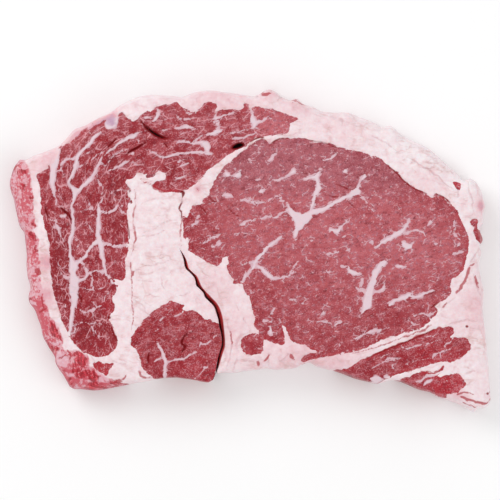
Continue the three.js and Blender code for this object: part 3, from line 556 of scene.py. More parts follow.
BLOOD_AND_SHADE_LINES = [  # red threads, and painted shadow along one step: (width, path)
    (2, [[366, 358], [385, 349.5], [402, 343], [418, 336.5], [436, 328.5], [447, 327]]),
    (0.9, [[352, 352.5], [366, 350], [385, 343.5], [398, 339.5]]),
    (0.9, [[384, 344], [400, 337.5], [420, 330.5]]),
    (1.8, [[42, 297], [44, 303], [42.5, 309]]),
    (2.4, [[36, 305.5], [40, 310.5], [46, 308]]),
    (1.6, [[61, 358], [65, 355.5], [69, 356]]),
    (1.5, [[68, 350], [71, 356], [69, 362]]),
    (2, [[58, 363.5], [60, 366], [64, 369]]),
    (1.5, [[100, 381.5], [109, 386], [122, 385]]),
    # painted shadow of the step at the left side of the raised fat wedge, drawn as a thin dark red line: the
    # next four
    (0.8, [[135.5, 190], [135.5, 205], [134, 215], [134, 226], [135.5, 238], [134.5, 246], [132, 256]]),
    (0.8, [[131, 262], [131, 272], [132.5, 290], [133, 322], [131, 331]]),
    (1.6, [[135.5, 232], [136, 239], [134.5, 246]]),
    (2.2, [[133, 272], [131.5, 277]]),
    (1.2, [[141, 179], [145, 182.5], [153, 184.5]]),
    (2.4, [[153, 185], [158, 190], [170, 191], [182, 191.5]]),
    (0.8, [[181, 220], [180.5, 232], [181, 240], [180.5, 249]]),
    (2.4, [[468, 268], [466, 277], [461, 286], [455, 293]]),
    (1, [[474, 264], [468, 267]]),
    (1.8, [[446, 303], [442, 308]]),
    (1.4, [[412, 334], [423, 329.5], [430, 324]]),
    (2.8, [[460, 397], [468, 399], [476, 401.5], [484, 403], [490, 402]]),
    (1.4, [[456, 394], [462, 392], [473, 393.5]]),
    (1.2, [[420, 372], [432, 371.5], [440, 369], [444, 365]]),
    (1.6, [[139, 371], [142, 375], [146, 377], [153, 377]]),
    (2, [[110, 381], [118, 380.5], [124, 379], [126, 375]]),
    (3, [[465, 406], [470, 408], [476, 410]]),
    (2, [[269, 355], [267, 359], [263, 361]]),
    (2, [[258, 361], [258.5, 366]]),
    (2.2, [[290, 355], [295, 360]]),
    (1.4, [[230, 332], [231.5, 338], [232, 344]]),
    (1.6, [[24, 160], [17, 165], [12, 175]]),
    (5.4, [[38.6, 271], [39, 272], [39, 273]]),
    (2, [[474, 276], [476, 283], [478, 288]]),
    (1.6, [[291, 103], [296, 100], [301, 103], [308, 105.5]]),
    (3.2, [[262, 94.5], [268, 94], [271, 92.5]]),
    (1, [[196, 188], [199, 191]]),
]
FOLDS_AND_SHADE = [  # faint creases in the fat, pinkish lines with painted shade along them: (width, path)
    (1.6, [[177, 220], [170, 221], [163, 223.5], [156, 227]]),
    (1.6, [[168, 260], [162, 263], [152, 265.5], [143, 264.5]]),
    (1.2, [[141, 270], [134, 271]]),
    (1.2, [[161, 277], [163, 285], [167, 290]]),
    (1.2, [[190, 292], [184, 295], [176, 296]]),
    (1.4, [[139, 236], [149, 236], [158, 234], [166, 231]]),
    (1.4, [[140, 205], [150, 200], [163, 199], [175, 201]]),
    (1.4, [[146, 292], [155, 296], [164, 296]]),
    (1.4, [[135, 300], [143, 306], [147, 314]]),
    # the crease between the top and the outer side at the upper right, a painted shade line
    (1.6, [[310, 114], [345, 123], [372, 135], [400, 153]]),
    (2, [[400, 153], [414, 161.5], [430, 171], [441, 181], [452, 190]]),
    (1.4, [[362, 128], [367, 128], [370, 126]]),
    (1.6, [[334, 118], [340, 120], [342, 127]]),
    (1.6, [[226, 318], [229, 330], [232, 345], [230, 358], [226, 370]]),
    (1.6, [[236, 304], [239, 311]]),
    (1.6, [[243, 318], [246, 324]]),
    (1.6, [[250, 331], [243, 334], [238, 340], [236, 346], [240, 352]]),
    (1.6, [[236, 360], [247, 361], [258, 362]]),
    (1.4, [[268, 354], [269, 366]]),
    (1.6, [[281, 360], [287, 355], [292, 354]]),
    (1.6, [[233, 372], [236, 362], [238, 355]]),
    (1.6, [[464, 374], [470, 372], [476, 370]]),
    (1.6, [[446, 325], [460, 321], [478, 320]]),
    (1.6, [[466, 181], [470, 195], [474, 215]]),
    (1.4, [[457, 190], [457, 198]]),
    (1.6, [[480, 246], [474, 256], [470, 264]]),
    (1.6, [[471, 270], [474, 280], [478, 290], [481, 300]]),
    (1.4, [[440, 311], [446, 305], [455, 297]]),
    (1.6, [[99, 366], [92, 356], [90, 350]]),
    (1.4, [[108, 357], [117, 362], [128, 364]]),
]

# ------------------------------------------------ tone spots: [x, y, reach, amount]

SWELLS = [
    [330, 245, 110, EYE_SWELL], [158, 250, 34, 0.9], [180, 345, 34, 0.8], [165, 140, 60, 0.8],
    [470, 385, 70, -3.2], [60, 365, 60, -2.0], [20, 200, 60, -1.2],
]
# How pale the lean is: 0 is the deep red of the cap, 1 the pinkish eye.
PALE_LEAN = [
    [98, 332, 20, -0.4], [60, 262, 16, -0.35], [62, 290, 16, -0.35], [58, 232, 14, -0.3],
    [114, 225, 16, -0.25], [114, 196, 14, -0.25], [330, 230, 85, 0.75], [245, 190, 40, 0.35],
    [425, 250, 50, 0.72], [240, 240, 40, 0.35], [275, 120, 24, 0.85], [300, 330, 50, 0.15],
    [300, 150, 50, 0.3], [190, 118, 40, 0.22], [86, 218, 30, 0.1], [170, 171, 6, -0.6], [115, 163, 6, -0.4],
    [412, 356, 8, -0.3], [118, 182, 8, -0.25], [95, 335, 14, -0.15],
]
# The skinned side on the left, mottled with blood and membrane.
SIDE_BAND = [
    [12, 156], [22, 158], [28, 162], [31, 172], [32, 184], [34, 196], [34, 212], [36, 220], [37.5, 225],
    [35.5, 228], [32, 229.5], [37, 235], [39.5, 241], [39, 250], [40.5, 262], [41, 280], [44, 294],
    [48, 306], [50, 316], [55, 321], [61, 331], [64, 340], [62, 346], [67, 350], [76, 350], [86, 354],
    [90, 361], [89, 367], [96, 368], [101, 374], [109, 378], [118, 380], [128, 384], [128, 400], [60, 400],
    [35, 360], [15, 300], [8, 240], [0, 200], [2, 170],
]
WET_PATCHES = [  # deep red places in it
    [[15, 166], [18, 161.5], [20.5, 161], [21, 163.5], [18, 166], [15.5, 169], [13, 175], [10.5, 177],
     [12, 170]],
    [[21, 173], [24, 170.7], [28, 171], [28, 174], [25, 174.5], [22, 174.8]],
    [[17, 175.5], [19.5, 175], [20, 178.5], [17.5, 179]],
    [[22, 186], [25, 184.5], [27, 188], [24.5, 191.5], [22, 190.5]],
    [[10, 183], [13, 185], [13.5, 188], [10, 190]],
    [[28, 197], [33, 196.5], [34, 199.5], [30, 200]],
    [[33, 222.5], [36, 223], [36.8, 226], [34, 227]],
    [[27, 230], [31, 229.5], [35, 235], [38, 238], [38, 241], [34, 238], [29, 234.5]],
    [[34, 244], [38, 245], [37, 248], [34, 248]],
    [[30, 249.5], [34, 250], [39, 250.5], [39, 252.5], [33, 252]],
    [[74, 376], [78, 372], [86, 369.5], [93, 369.5], [97, 374], [99, 380], [95, 381], [88, 378],
     [80, 378.5]],
    [[64, 372.5], [68, 375], [74, 380], [79, 385.5], [75, 386], [70, 382.5], [66, 377]],
    [[69, 369], [76, 367.5], [82, 369], [78, 371], [74, 373], [70, 372]],
    [[111, 381], [120, 378], [126, 374], [129, 378], [129, 384], [118, 385.5], [112, 384.5]],
    [[89, 384], [94, 382], [100, 384], [101, 386.5], [96, 387.5], [90, 386.5]],
    [[85, 389], [92, 388.5], [105, 388], [108, 390], [96, 393], [86, 392]],
    [[27, 298.5], [31, 297], [34, 298], [34, 300.5], [30, 301.5], [27, 300.5]],
    [[50, 321], [54, 323.5], [57, 328], [60, 333], [62.5, 338], [61.5, 341], [57, 337], [53, 336],
     [51.5, 331]],
    [[58.5, 347], [59, 352], [56, 354.5], [51.5, 352.5], [51, 350], [55, 349]],
    [[73, 353], [80, 351.5], [85, 355], [87.5, 361], [84, 366.5], [79, 365.5], [73, 367], [76, 359],
     [74, 355]],
    [[45, 342], [50, 347], [53, 353], [50, 353], [46, 347]],
]
PALE_STRANDS_AND_HIGHLIGHT = [  # and pale ones, one of them a painted highlight: (width, path)
    (3, [[80, 383.5], [90, 380.5], [100, 379], [108, 379]]),
    (4.5, [[96, 371], [103, 375.5], [110, 379.5]]),
    (2.6, [[76, 388], [86, 386], [92, 387]]),
    (2.2, [[102, 386.5], [112, 384.5], [124, 382]]),
    (5, [[62, 361], [66, 361.5], [70, 361]]),
    (5, [[50, 343.5], [54, 344], [58, 343]]),
    (3, [[66, 372], [74, 375], [82, 380]]),
    # a painted highlight, a pale glint on the wet surface
    (3, [[81, 361.5], [83.5, 362.5]]),
    (4, [[33, 303], [37, 303]]),
    (3, [[39, 326], [43, 336]]),
    (8, [[60, 352], [63, 360], [70, 368]]),
    (2, [[57, 362], [62, 369], [68, 377]]),
]
# How bloody it is there, and in a few places on the right.
BLOODY = [
    [26, 180, 9, 0.2], [28, 202, 12, 0.25], [30, 217, 9, 0.25], [34, 240, 9, 0.35], [34, 256, 9, 0.25],
    [38, 306, 8, 0.4], [40, 322, 10, 0.5], [34, 311, 7, 0.6], [41, 331, 6, 0.6], [50, 349, 8, 0.4],
    [54, 361, 6, 0.4], [66, 374, 9, 0.5], [84, 383, 17, 0.6], [104, 384, 12, 0.5], [478, 226, 8, 0.5],
    [456, 186, 7, 1.2], [448, 385, 26, 0.85], [424, 350, 24, 0.4], [104, 368, 8, 0.6], [200, 374, 26, 0.45],
    [170, 300, 16, 0.4], [108, 307, 7, 0.5], [100, 352, 14, 0.4], [240, 345, 16, 0.2],
]
# Where the fat is greyish pink rather than white.
DUSKY_FAT = [
    [76, 132, 14, 1.6], [96, 120, 12, 1.3], [112, 111, 8, 0.8], [112, 122.5, 6, 2], [267, 147, 5, 2.2],
    [300, 102, 14, 0.6], [270, 92, 8, 0.6], [220, 96, 50, 0.45], [45, 158, 22, 0.6], [440, 397, 10, 1],
    [456, 402, 10, 0.8], [300, 355, 50, 0.3], [480, 300, 22, 0.4], [235, 330, 26, 0.3],
    [215, 285, 20, 0.35], [203, 232, 12, 0.3], [350, 126, 40, 0.2], [330, 370, 40, 0.35],
    [484, 206, 7, 1.8], [425, 180, 22, 0.35], [470, 320, 20, 0.25], [46, 262, 10, 1.1], [46, 295, 11, 1],
    [100, 372, 20, 0.2], [430, 146, 34, -0.5], [380, 116, 26, -0.3], [462, 174, 12, -0.5],
    [198, 189, 4.5, 1.1],
]

# The line that the cap's fibres follow.
CAP_SPINE = [
    [116, 352], [121, 310], [126, 270], [128, 235], [131, 205], [146, 180], [175, 168], [205, 160],
    [232, 146], [262, 136], [296, 126],
]

# ------------------------------------------------ paths, distances and noise


def plan(places):
    """Grid places, as an array of [x, y], in millimetres about the steak's middle, with y turned upwards."""
    return (np.asarray(places, float)[:, :2] - GRID_MIDDLE) * [STEP, -STEP]


def smooth_path(knots, closed=False, pieces=PATH_PIECES):
    """A centripetal Catmull-Rom curve through the knots: between two knots, a cubic whose slopes at its ends
    come from the neighbours, with each gap timed by the square root of its length."""
    knots = np.asarray(knots, float)
    if closed:
        chain = np.concatenate([knots[-1:], knots, knots[:2]])
    else:
        chain = np.concatenate([2 * knots[:1] - knots[1:2], knots, 2 * knots[-1:] - knots[-2:-1]])
    p0, p1, p2, p3 = chain[:-3], chain[1:-2], chain[2:-1], chain[3:]
    gaps = (p0, p1), (p1, p2), (p2, p3)
    t01, t12, t23 = (np.sqrt(np.linalg.norm(b - a, axis=1))[:, None] + 1e-9 for a, b in gaps)
    slope1 = t12 * ((p1 - p0) / t01 - (p2 - p0) / (t01 + t12) + (p2 - p1) / t12)
    slope2 = t12 * ((p2 - p1) / t12 - (p3 - p1) / (t12 + t23) + (p3 - p2) / t23)
    t = np.linspace(0, 1, pieces, endpoint=False)[:, None, None]
    curve = (
        (2 * t**3 - 3 * t**2 + 1) * p1 + (t**3 - 2 * t**2 + t) * slope1
        + (3 * t**2 - 2 * t**3) * p2 + (t**3 - t**2) * slope2
    )
    path = curve.transpose(1, 0, 2).reshape(-1, knots.shape[1])
    return np.concatenate([path, path[:1] if closed else knots[-1:]])


def equal_steps(path, pieces):
    """The path cut into equal lengths, by its running length."""
    run = np.concatenate([[0], np.cumsum(np.linalg.norm(np.diff(path[:, :2], axis=0), axis=1))])
    even = np.linspace(0, run[-1], pieces + 1)
    return np.stack([np.interp(even, run, column) for column in path.T], axis=1)


def distance_to_path(points, path, half_widths=0.0, reach=OUTLINE_REACH):
    """Distance from each point to a chain of straight pieces, less the chain's own half width there, and no
    more than reach: the least, over the pieces, of the distance to the nearest place on the piece."""
    best = np.full(len(points), float(reach))
    half_widths = np.broadcast_to(half_widths, len(path))
    margin = reach + half_widths.max()
    near = ((points > path.min(0) - margin) & (points < path.max(0) + margin)).all(1)
    x, y = points[near].T
    least = best[near]
    for (ax, ay), (bx, by), wa, wb in zip(path[:-1], path[1:], half_widths[:-1], half_widths[1:]):
        dx, dy = bx - ax, by - ay
        along = np.clip(((x - ax) * dx + (y - ay) * dy) / (dx * dx + dy * dy + 1e-12), 0, 1)
        away = np.hypot(x - ax - along * dx, y - ay - along * dy) - (wa + (wb - wa) * along)
        np.minimum(least, away, out=least)
    best[near] = least
    return best


def inside(points, loop):
    """Whether each point is inside a closed chain: a line to its right then crosses the chain an odd number
    of times."""
    x, y = points.T
    within = np.zeros(len(points), bool)
    for (ax, ay), (bx, by) in zip(loop[:-1], loop[1:]):
        if ay != by:
            within ^= ((ay > y) != (by > y)) & (x < (bx - ax) * (y - ay) / (by - ay) + ax)
    return within


def signed_distance(points, outline, reach=OUTLINE_REACH):
    """Distance to a smooth closed outline, negative inside it."""
    loop = smooth_path(plan(outline), closed=True)
    return distance_to_path(points, loop, reach=reach) * np.where(inside(points, loop), -1, 1)


def nearest_outline(points, outlines):
    """The least of the signed distances to several outlines."""
    return np.min([signed_distance(points, outline) for outline in outlines], axis=0)


def vein_distance(points, widths, places):
    """Distance to a vein's surface, negative inside it, with its widths spread evenly along its path. One
    width alone is kept along most of the path, and thins out at its end."""
    if len(widths) == 1:
        widths = [widths[0] * share for share in THINNING]
    path = smooth_path(plan(places))
    run = np.linspace(0, 1, len(path))
    half_widths = np.interp(run, np.linspace(0, 1, len(widths)), widths) * STEP / 2
    return distance_to_path(points, path, half_widths, reach=VEIN_REACH)


def nearest_vein(points, veins):
    """The least of the distances to several veins, each given as its widths and its path."""
    return np.min([vein_distance(points, widths, places) for widths, places in veins], axis=0)


def nearest_spindle(points, lines):
    """The same for lines of one width each, pointed at both ends."""
    return nearest_vein(points, [([width * share for share in SPINDLE], places) for width, places in lines])


def gash_distance(points, width, places):
    """Distance to the edge of a split, whose ends are pointed."""
    shoulder = width * GASH_SHOULDER
    return vein_distance(points, [GASH_TIP, shoulder, width, shoulder, GASH_TIP], places)


def spots(points, table):
    """The sum of round soft spots: each is its amount times the bell curve of distance over reach."""
    total = np.zeros(len(points))
    for x, y, reach, amount in table:
        away = np.linalg.norm(points - plan([[x, y]])[0], axis=1) / (reach * STEP)
        total += amount * np.exp(-away * away)
    return total


def lattice_noise(x, y, size, seed):
    """Value noise from -1 to 1: random numbers on a square lattice, blended smoothly between its corners."""
    table = np.random.default_rng(seed).uniform(-1, 1, (LATTICE, LATTICE))
    i, j = np.floor(x / size).astype(int), np.floor(y / size).astype(int)
    u, v = x / size - i, y / size - j
    u, v = u * u * (3 - 2 * u), v * v * (3 - 2 * v)

    def corner(right, up):
        return table[(i + right) % LATTICE, (j + up) % LATTICE]

    low = corner(0, 0) * (1 - u) + corner(1, 0) * u
    return low * (1 - v) + (corner(0, 1) * (1 - u) + corner(1, 1) * u) * v


def layered_noise(x, y, layers):
    """The sum of several layers of value noise."""
    return sum(amount * lattice_noise(x, y, size, seed) for amount, size, seed in layers)


def smooth_step(x, low, high):
    """0 below low, 1 above high, and a smooth cubic between them."""
    t = np.clip((x - low) / (high - low), 0, 1)
    return t * t * (3 - 2 * t)


# ------------------------------------------------ what the cut face shows, at plan points


def fibre_places(points):
    """Where each point lies on the cap's grain: how far along the spine, and how far off it to its left."""
    spine = equal_steps(smooth_path(plan(CAP_SPINE)), SPINE_PIECES)
    tangent = np.gradient(spine, axis=0)
    tangent /= np.linalg.norm(tangent, axis=1)[:, None]
    run = np.linspace(0, 1, len(spine)) * np.linalg.norm(np.diff(spine, axis=0), axis=1).sum()
    gap = points[:, None, :] - spine[None, :, :]
    weight = 1.0 / (np.square(gap).sum(2) + SPINE_BLEND) ** 3
    weight /= weight.sum(1, keepdims=True)
    along = (weight * (run + (gap * tangent).sum(2))).sum(1)
    across = (weight * (gap[:, :, 1] * tangent[:, 0] - gap[:, :, 0] * tangent[:, 1])).sum(1)
    return along, across


def grain_places(points, in_cap):
    """How far along and across the grain each point lies: by the spine in the cap, and by a slope elsewhere,
    which is one for the eye's side and another, less steep towards the lower right, for the left side."""
    x, y = points.T
    left_grain = LEFT_GRAIN * (1 - 0.65 * smooth_step(x - y, -10, 25))
    slope = np.where(x < LEFT_GRAIN_END, left_grain, EYE_GRAIN)
    along, across = x * np.cos(slope) + y * np.sin(slope), y * np.cos(slope) - x * np.sin(slope)
    along[in_cap], across[in_cap] = fibre_places(points[in_cap])
    return along, across


def survey(points):
    """Everything that varies over the cut face, at plan points. Outlines and lines are signed distances in
    millimetres, negative inside: the lean, its veins, the splits with painted shadow lines, blood lines with
    a painted step shadow, folds with painted shade, and the skinned side's band with its wet places and pale
    strands, one of them a painted highlight. The rest are places on the grain, and soft tones."""
    x, y = points.T
    ragged = points + np.stack([layered_noise(x, y, RAGGED_X), layered_noise(x, y, RAGGED_Y)], axis=1)
    vein = np.minimum(nearest_vein(ragged, VEINS), signed_distance(ragged, CAP_KNOT))
    from_cap = signed_distance(points, CAP)
    cap = smooth_step(-from_cap, -1.0, 1.0)
    tail = smooth_step(-nearest_outline(points, [LOBE, TAIL_UPPER, TAIL_LOWER]), -1, 1)
    along, across = grain_places(points, from_cap < 1.0)
    return {
        "lean_edge": nearest_outline(ragged, MUSCLES),
        "vein_edge": np.maximum(vein, -signed_distance(ragged, ISLET)),
        "gash_and_shade_line": np.min([gash_distance(points, width, places) for width, _, places in GASHES_AND_SHADE_LINES], axis=0),
        "blood_and_shade": nearest_vein(ragged, [([width], places) for width, places in BLOOD_AND_SHADE_LINES]),
        "fold_and_shade": nearest_spindle(ragged, FOLDS_AND_SHADE),
        "along": along,
        "across": across,
        "web": np.clip(cap + 0.25 * tail, 0, 1),
        "jagged": 0.95 - 0.5 * cap - 0.65 * tail,
        "pale": np.clip(spots(points, PALE_LEAN), -0.3, 1.2),
        "band": signed_distance(ragged, SIDE_BAND),
        "wet": nearest_outline(ragged, WET_PATCHES),
        "strand_and_highlight": nearest_spindle(ragged, PALE_STRANDS_AND_HIGHLIGHT),
        "bloody": np.clip(spots(points, BLOODY), 0, 1),
        "dusk": np.clip(spots(points, DUSKY_FAT), -1, 2),
    }


def face_height(points, from_rim, found):
    """Height of the cut face: a level base, plus the swells, less a dip wherever there is lean, a roll to the
    rim, and the splits, plus the small relief of fat lobules, veins and muscle fibres."""
    x, y = points.T
    lean_edge = found["lean_edge"]
    fat = np.maximum(lean_edge, -found["vein_edge"])
    z = BASE_HEIGHT + spots(points, SWELLS)
    z -= LEAN_DIP * (1 - smooth_step(lean_edge, -BORDER_SOFTNESS, BORDER_SOFTNESS))
    z -= SHOULDER_DROP * np.clip(1 - from_rim / SHOULDER_REACH, 0, 1) ** 2
    z += VEIN_LIFT * smooth_step(fat, -0.5, 0.5) * smooth_step(-lean_edge, -0.5, 1.0)
    ridges = layered_noise(found["along"], found["across"], RIDGES) * found["web"]
    is_fat = smooth_step(fat, -0.3, 0.3)
    z += is_fat * layered_noise(x, y, LOBULES) + (1 - is_fat) * (layered_noise(x, y, GRAIN) + ridges)
    for width, depth, places in GASHES_AND_SHADE_LINES:
        off = gash_distance(points, width, places)
        z -= depth * (1 - smooth_step(off, -0.5 * width * STEP, GASH_LIP))
    return z


# ------------------------------------------------ the steak's skin


def outline_loop():
    """The whole outline as one anticlockwise loop of [x, y, bank], and where each run starts in it."""
    runs = {
        "lower_right": (LOWER_RIGHT, COLUMNS_RIGHT), "right": (RIGHT, ROWS),
        "upper_right": (UPPER_RIGHT, COLUMNS_RIGHT), "upper_left": (UPPER_LEFT, COLUMNS_LEFT),
        "left": (LEFT, ROWS), "lower_left": (LOWER_LEFT, COLUMNS_LEFT),
        "crack_left": (CRACK_LEFT, ROWS_CRACK), "crack_right": (CRACK_RIGHT, ROWS_CRACK),
    }
    pieces, start, count = [], {}, 0
    for name, (landmarks, number) in runs.items():
        marks = np.asarray(landmarks, float)
        knots = np.column_stack([plan(marks), marks[:, 2] * STEP])
        pieces.append(equal_steps(smooth_path(knots, pieces=OUTLINE_PIECES), number)[:-1])
        start[name] = count
        count += number
    return np.concatenate(pieces), start


def outward_normals(loop):
    """Unit normals of a closed loop, from the chords between its neighbours, evened out over NORMAL_REACH."""
    chord = sum(np.roll(loop, -k, axis=0) - np.roll(loop, k, axis=0) for k in range(1, NORMAL_REACH + 1))
    normal = np.stack([chord[:, 1], -chord[:, 0]], axis=1)
    return normal / np.linalg.norm(normal, axis=1)[:, None]


def coons_patch(bottom, top, left, right):
    """A grid blended from its four sides: across plus up, less the part that both count, which is the blend
    of the four corners. Rows run from bottom to top, columns from left to right."""
    u = np.linspace(0, 1, len(bottom))[None, :, None]
    v = np.linspace(0, 1, len(left))[:, None, None]
    return (
        (1 - v) * bottom[None] + v * top[None] + (1 - u) * left[:, None] + u * right[:, None]
        - (1 - u) * (1 - v) * bottom[0] - u * (1 - v) * bottom[-1] - (1 - u) * v * top[0] - u * v * top[-1]
    )


def quads(ids):
    """The faces of a grid of vertex numbers, anticlockwise where rows go up and columns go right."""
    return np.stack([ids[:-1, :-1], ids[:-1, 1:], ids[1:, 1:], ids[1:, :-1]], axis=-1).reshape(-1, 4)


def relaxed(patch):
    """The same grid with each inner point drawn, again and again, to the middle of its four neighbours."""
    for _ in range(RELAX_ROUNDS):
        patch[1:-1, 1:-1] = (patch[:-2, 1:-1] + patch[2:, 1:-1] + patch[1:-1, :-2] + patch[1:-1, 2:]) / 4
    return patch


def two_patches(ring, start, first_id, thin):
    """The two grids that fill a ring of plan points and share the seam. thin keeps every so-many-th point.
    Gives the inner points that had to be added, and the two grids of vertex numbers. The ring's own points
    are numbered from the first first_id on, and the added ones from the second."""
    count = len(ring)

    def run(name, number, backwards=False):
        ids = (start[name] // thin + np.arange(number // thin + 1)) % count
        return ids[::-1] if backwards else ids

    inner_seam = equal_steps(smooth_path(plan(SEAM), pieces=OUTLINE_PIECES), ROWS_SEAM // thin)[1:-1]
    seam_column = np.concatenate([count + np.arange(len(inner_seam)), [start["upper_left"] // thin]])
    known = np.concatenate([ring, inner_seam])
    left_of_seam = np.concatenate([run("crack_left", ROWS_CRACK), seam_column])
    right_of_seam = np.concatenate([run("crack_right", ROWS_CRACK, True), seam_column])
    halves = (
        ("lower_left", "upper_left", COLUMNS_LEFT, run("left", ROWS, True), left_of_seam),
        ("lower_right", "upper_right", COLUMNS_RIGHT, right_of_seam, run("right", ROWS)),
    )
    points, added, grids = [inner_seam], len(inner_seam), []
    for low, high, columns, left, right in halves:
        bottom, top = run(low, columns), run(high, columns, True)
        patch = relaxed(coons_patch(known[bottom], known[top], known[left], known[right]))
        inner = patch[1:-1, 1:-1]
        ids = np.empty(patch.shape[:2], int)
        ids[0], ids[-1], ids[:, 0], ids[:, -1] = bottom, top, left, right
        ids[1:-1, 1:-1] = (count + added + np.arange(inner.size // 2)).reshape(inner.shape[:2])
        points.append(inner.reshape(-1, 2))
        added += len(points[-1])
        grids.append(np.where(ids < count, ids + first_id[0], ids - count + first_id[1]))
    return np.concatenate(points), grids


def following(ids):
    """The next point of a ring, for each of its points."""
    return np.roll(ids, -1)


def side_ring(k, edge, normal, bank, rim, rim_height, belly):
    """Ring k of the sides, counted down from the rim. Above the belly it stands out by bank times the sine,
    at the height of the cosine, of part of a quarter turn; below it the sides tuck in by the same rule."""
    if k <= FLANK_ABOVE:
        turn = math.pi / 2 * (k / FLANK_ABOVE)
        z = belly + (rim_height - belly) * math.cos(turn)
        run = np.arange(len(edge)) * STEP * RIM_SPACING
        bumps = lattice_noise(run[:, None], z + BUMP_SHIFT, BUMP_SIZE, BUMP_SEED)
        height = smooth_step(bank, 0.6, WIDE_BANK) * BUMP_HEIGHT * math.sin(2 * turn)
        out = rim + (edge - rim) * math.sin(turn) + normal * height * bumps
    else:
        turn = math.pi / 2 * ((k - FLANK_ABOVE) / FLANK_BELOW)
        z = belly * (1 - math.sin(turn))
        out = edge - normal * np.minimum(UNDERCUT, bank) * (1 - math.cos(turn))
    return np.column_stack([out, z])


def wandered(points):
    """Plan points of the sides and the underside, shifted more and more by noise on the way down, so that the
    pattern doesn't run straight down, and how far down each is, from 0 to 1."""
    x, y, z = points.T
    depth = smooth_step(THICKNESS - z, DRIFT_FROM, DRIFT_TO)
    shifts = [
        DRIFT * depth * lattice_noise(
            x + y * side, z * DRIFT_SQUEEZE + DRIFT_SHIFT, DRIFT_SIZE, DRIFT_SEED + side)
        for side in (-1, 1)
    ]
    return np.stack([x + shifts[0], y + shifts[1]], axis=1), depth


def steak_skin():
    """The whole skin: vertices in millimetres, faces of four and of three, and what the survey found at each
    vertex. The cut face fills the rim, rings follow down the sides, the last ring has half as many points,
    and two coarser grids fill it. On the way down the pattern wanders by up to DRIFT."""
    loop, start = outline_loop()
    edge, bank = loop[:, :2], loop[:, 2:]
    normal = outward_normals(edge)
    count = len(loop)
    evened = sum(np.roll(edge, k, axis=0) for k in range(-RIM_REACH, RIM_REACH + 1)) / (2 * RIM_REACH + 1)
    rim = edge + (evened - edge) * smooth_step(bank, 0.8, WIDE_BANK) - normal * bank

    fresh, grids = two_patches(rim, start, (0, count), 1)
    face_points = np.concatenate([rim, fresh])
    from_rim = distance_to_path(face_points, np.concatenate([rim, rim[:1]]), reach=SHOULDER_REACH)
    found = survey(face_points)
    heights = face_height(face_points, from_rim, found)
    vertices = [np.column_stack([face_points, heights])]
    faces = [quads(grid) for grid in grids]
    total = len(face_points)

    ring = np.arange(count)
    into_crack = np.clip(np.minimum(ring - start["crack_left"], count - ring) / CRACK_MOUTH, 0, 1)[:, None]
    belly = BELLY_HEIGHT + (CRACK_LEDGE - BELLY_HEIGHT) * smooth_step(into_crack, 0, 1)
    rings_below = FLANK_ABOVE + FLANK_BELOW - 1
    on_crack = np.tile(ring >= start["crack_left"], rings_below)
    for k in range(1, rings_below + 1):
        vertices.append(side_ring(k, edge, normal, bank, rim, heights[:count, None], belly))
        lower = total + np.arange(count)
        faces.append(np.stack([ring, lower, following(lower), following(ring)], axis=1))
        ring, total = lower, total + count

    foot = (edge - normal * np.minimum(UNDERCUT, bank))[::2]
    low = total + np.arange(count // 2)
    high, between = ring[::2], ring[1::2]
    triangles = np.concatenate([
        np.stack([high, low, between], axis=1), np.stack([between, low, following(low)], axis=1),
        np.stack([between, following(low), following(high)], axis=1),
    ])
    under, grids = two_patches(foot, start, (total, total + count // 2), 2)
    under_points = np.concatenate([foot, under])
    vertices.append(np.column_stack([under_points, np.zeros(len(under_points))]))
    faces += [quads(grid)[:, ::-1] for grid in grids]

    vertices = np.concatenate(vertices)
    side_points, depth = wandered(vertices[len(face_points):])
    side_found = survey(side_points)
    side_found["dusk"] *= 1 - 0.7 * depth
    found = {name: np.concatenate([found[name], side_found[name]]) for name in found}
    found["inner_wall"] = np.zeros(len(vertices))
    found["inner_wall"][len(face_points):][:len(on_crack)] = on_crack
    return vertices, np.concatenate(faces), triangles, found


def mesh_piece(name, vertices, faces, attributes):
    """An object from vertices in millimetres, lists of faces, and one number per vertex for each name."""
    mesh = bpy.data.meshes.new(name)
    mesh.from_pydata((vertices * METRES).tolist(), [], faces)
    for key, values in attributes.items():
        layer = mesh.attributes.new(key, "FLOAT", "POINT")
        layer.data.foreach_set("value", np.ascontiguousarray(values, np.float32))
    mesh.polygons.foreach_set("use_smooth", np.ones(len(mesh.polygons), bool))
    mesh.validate()
    mesh.update()
    piece = bpy.data.objects.new(name, mesh)
    bpy.context.scene.collection.objects.link(piece)
    return piece


# ------------------------------------------------ shader maths


class Number:
    """A number in a material. Arithmetic on it adds the Math nodes that work it out."""

    def __init__(self, recipe, socket):
        self.recipe, self.socket = recipe, socket

    def math(self, operation, *others):
        return self.recipe.math(operation, self, *others)

    def __add__(self, other):
        return self.math("ADD", other)

    __radd__ = __add__

    def __sub__(self, other):
        return self.math("SUBTRACT", other)

    def __rsub__(self, other):
        return self.recipe.math("SUBTRACT", other, self)

    def __mul__(self, other):
        return self.math("MULTIPLY", other)

    __rmul__ = __mul__

    def __truediv__(self, other):
        return self.math("DIVIDE", other)

    def __rtruediv__(self, other):
        return self.recipe.math("DIVIDE", other, self)

    def __neg__(self):
        return self.math("MULTIPLY", -1.0)

    def at_least(self, other):
        return self.math("MAXIMUM", other)

    def at_most(self, other):
        return self.math("MINIMUM", other)

    def step(self, low, high):
        """0 at low, 1 at high, smooth between them; low may be the greater."""
        sockets = {"Value": self, "From Min": low, "From Max": high}
        return self.recipe.number("ShaderNodeMapRange", {"interpolation_type": "SMOOTHSTEP"}, sockets)


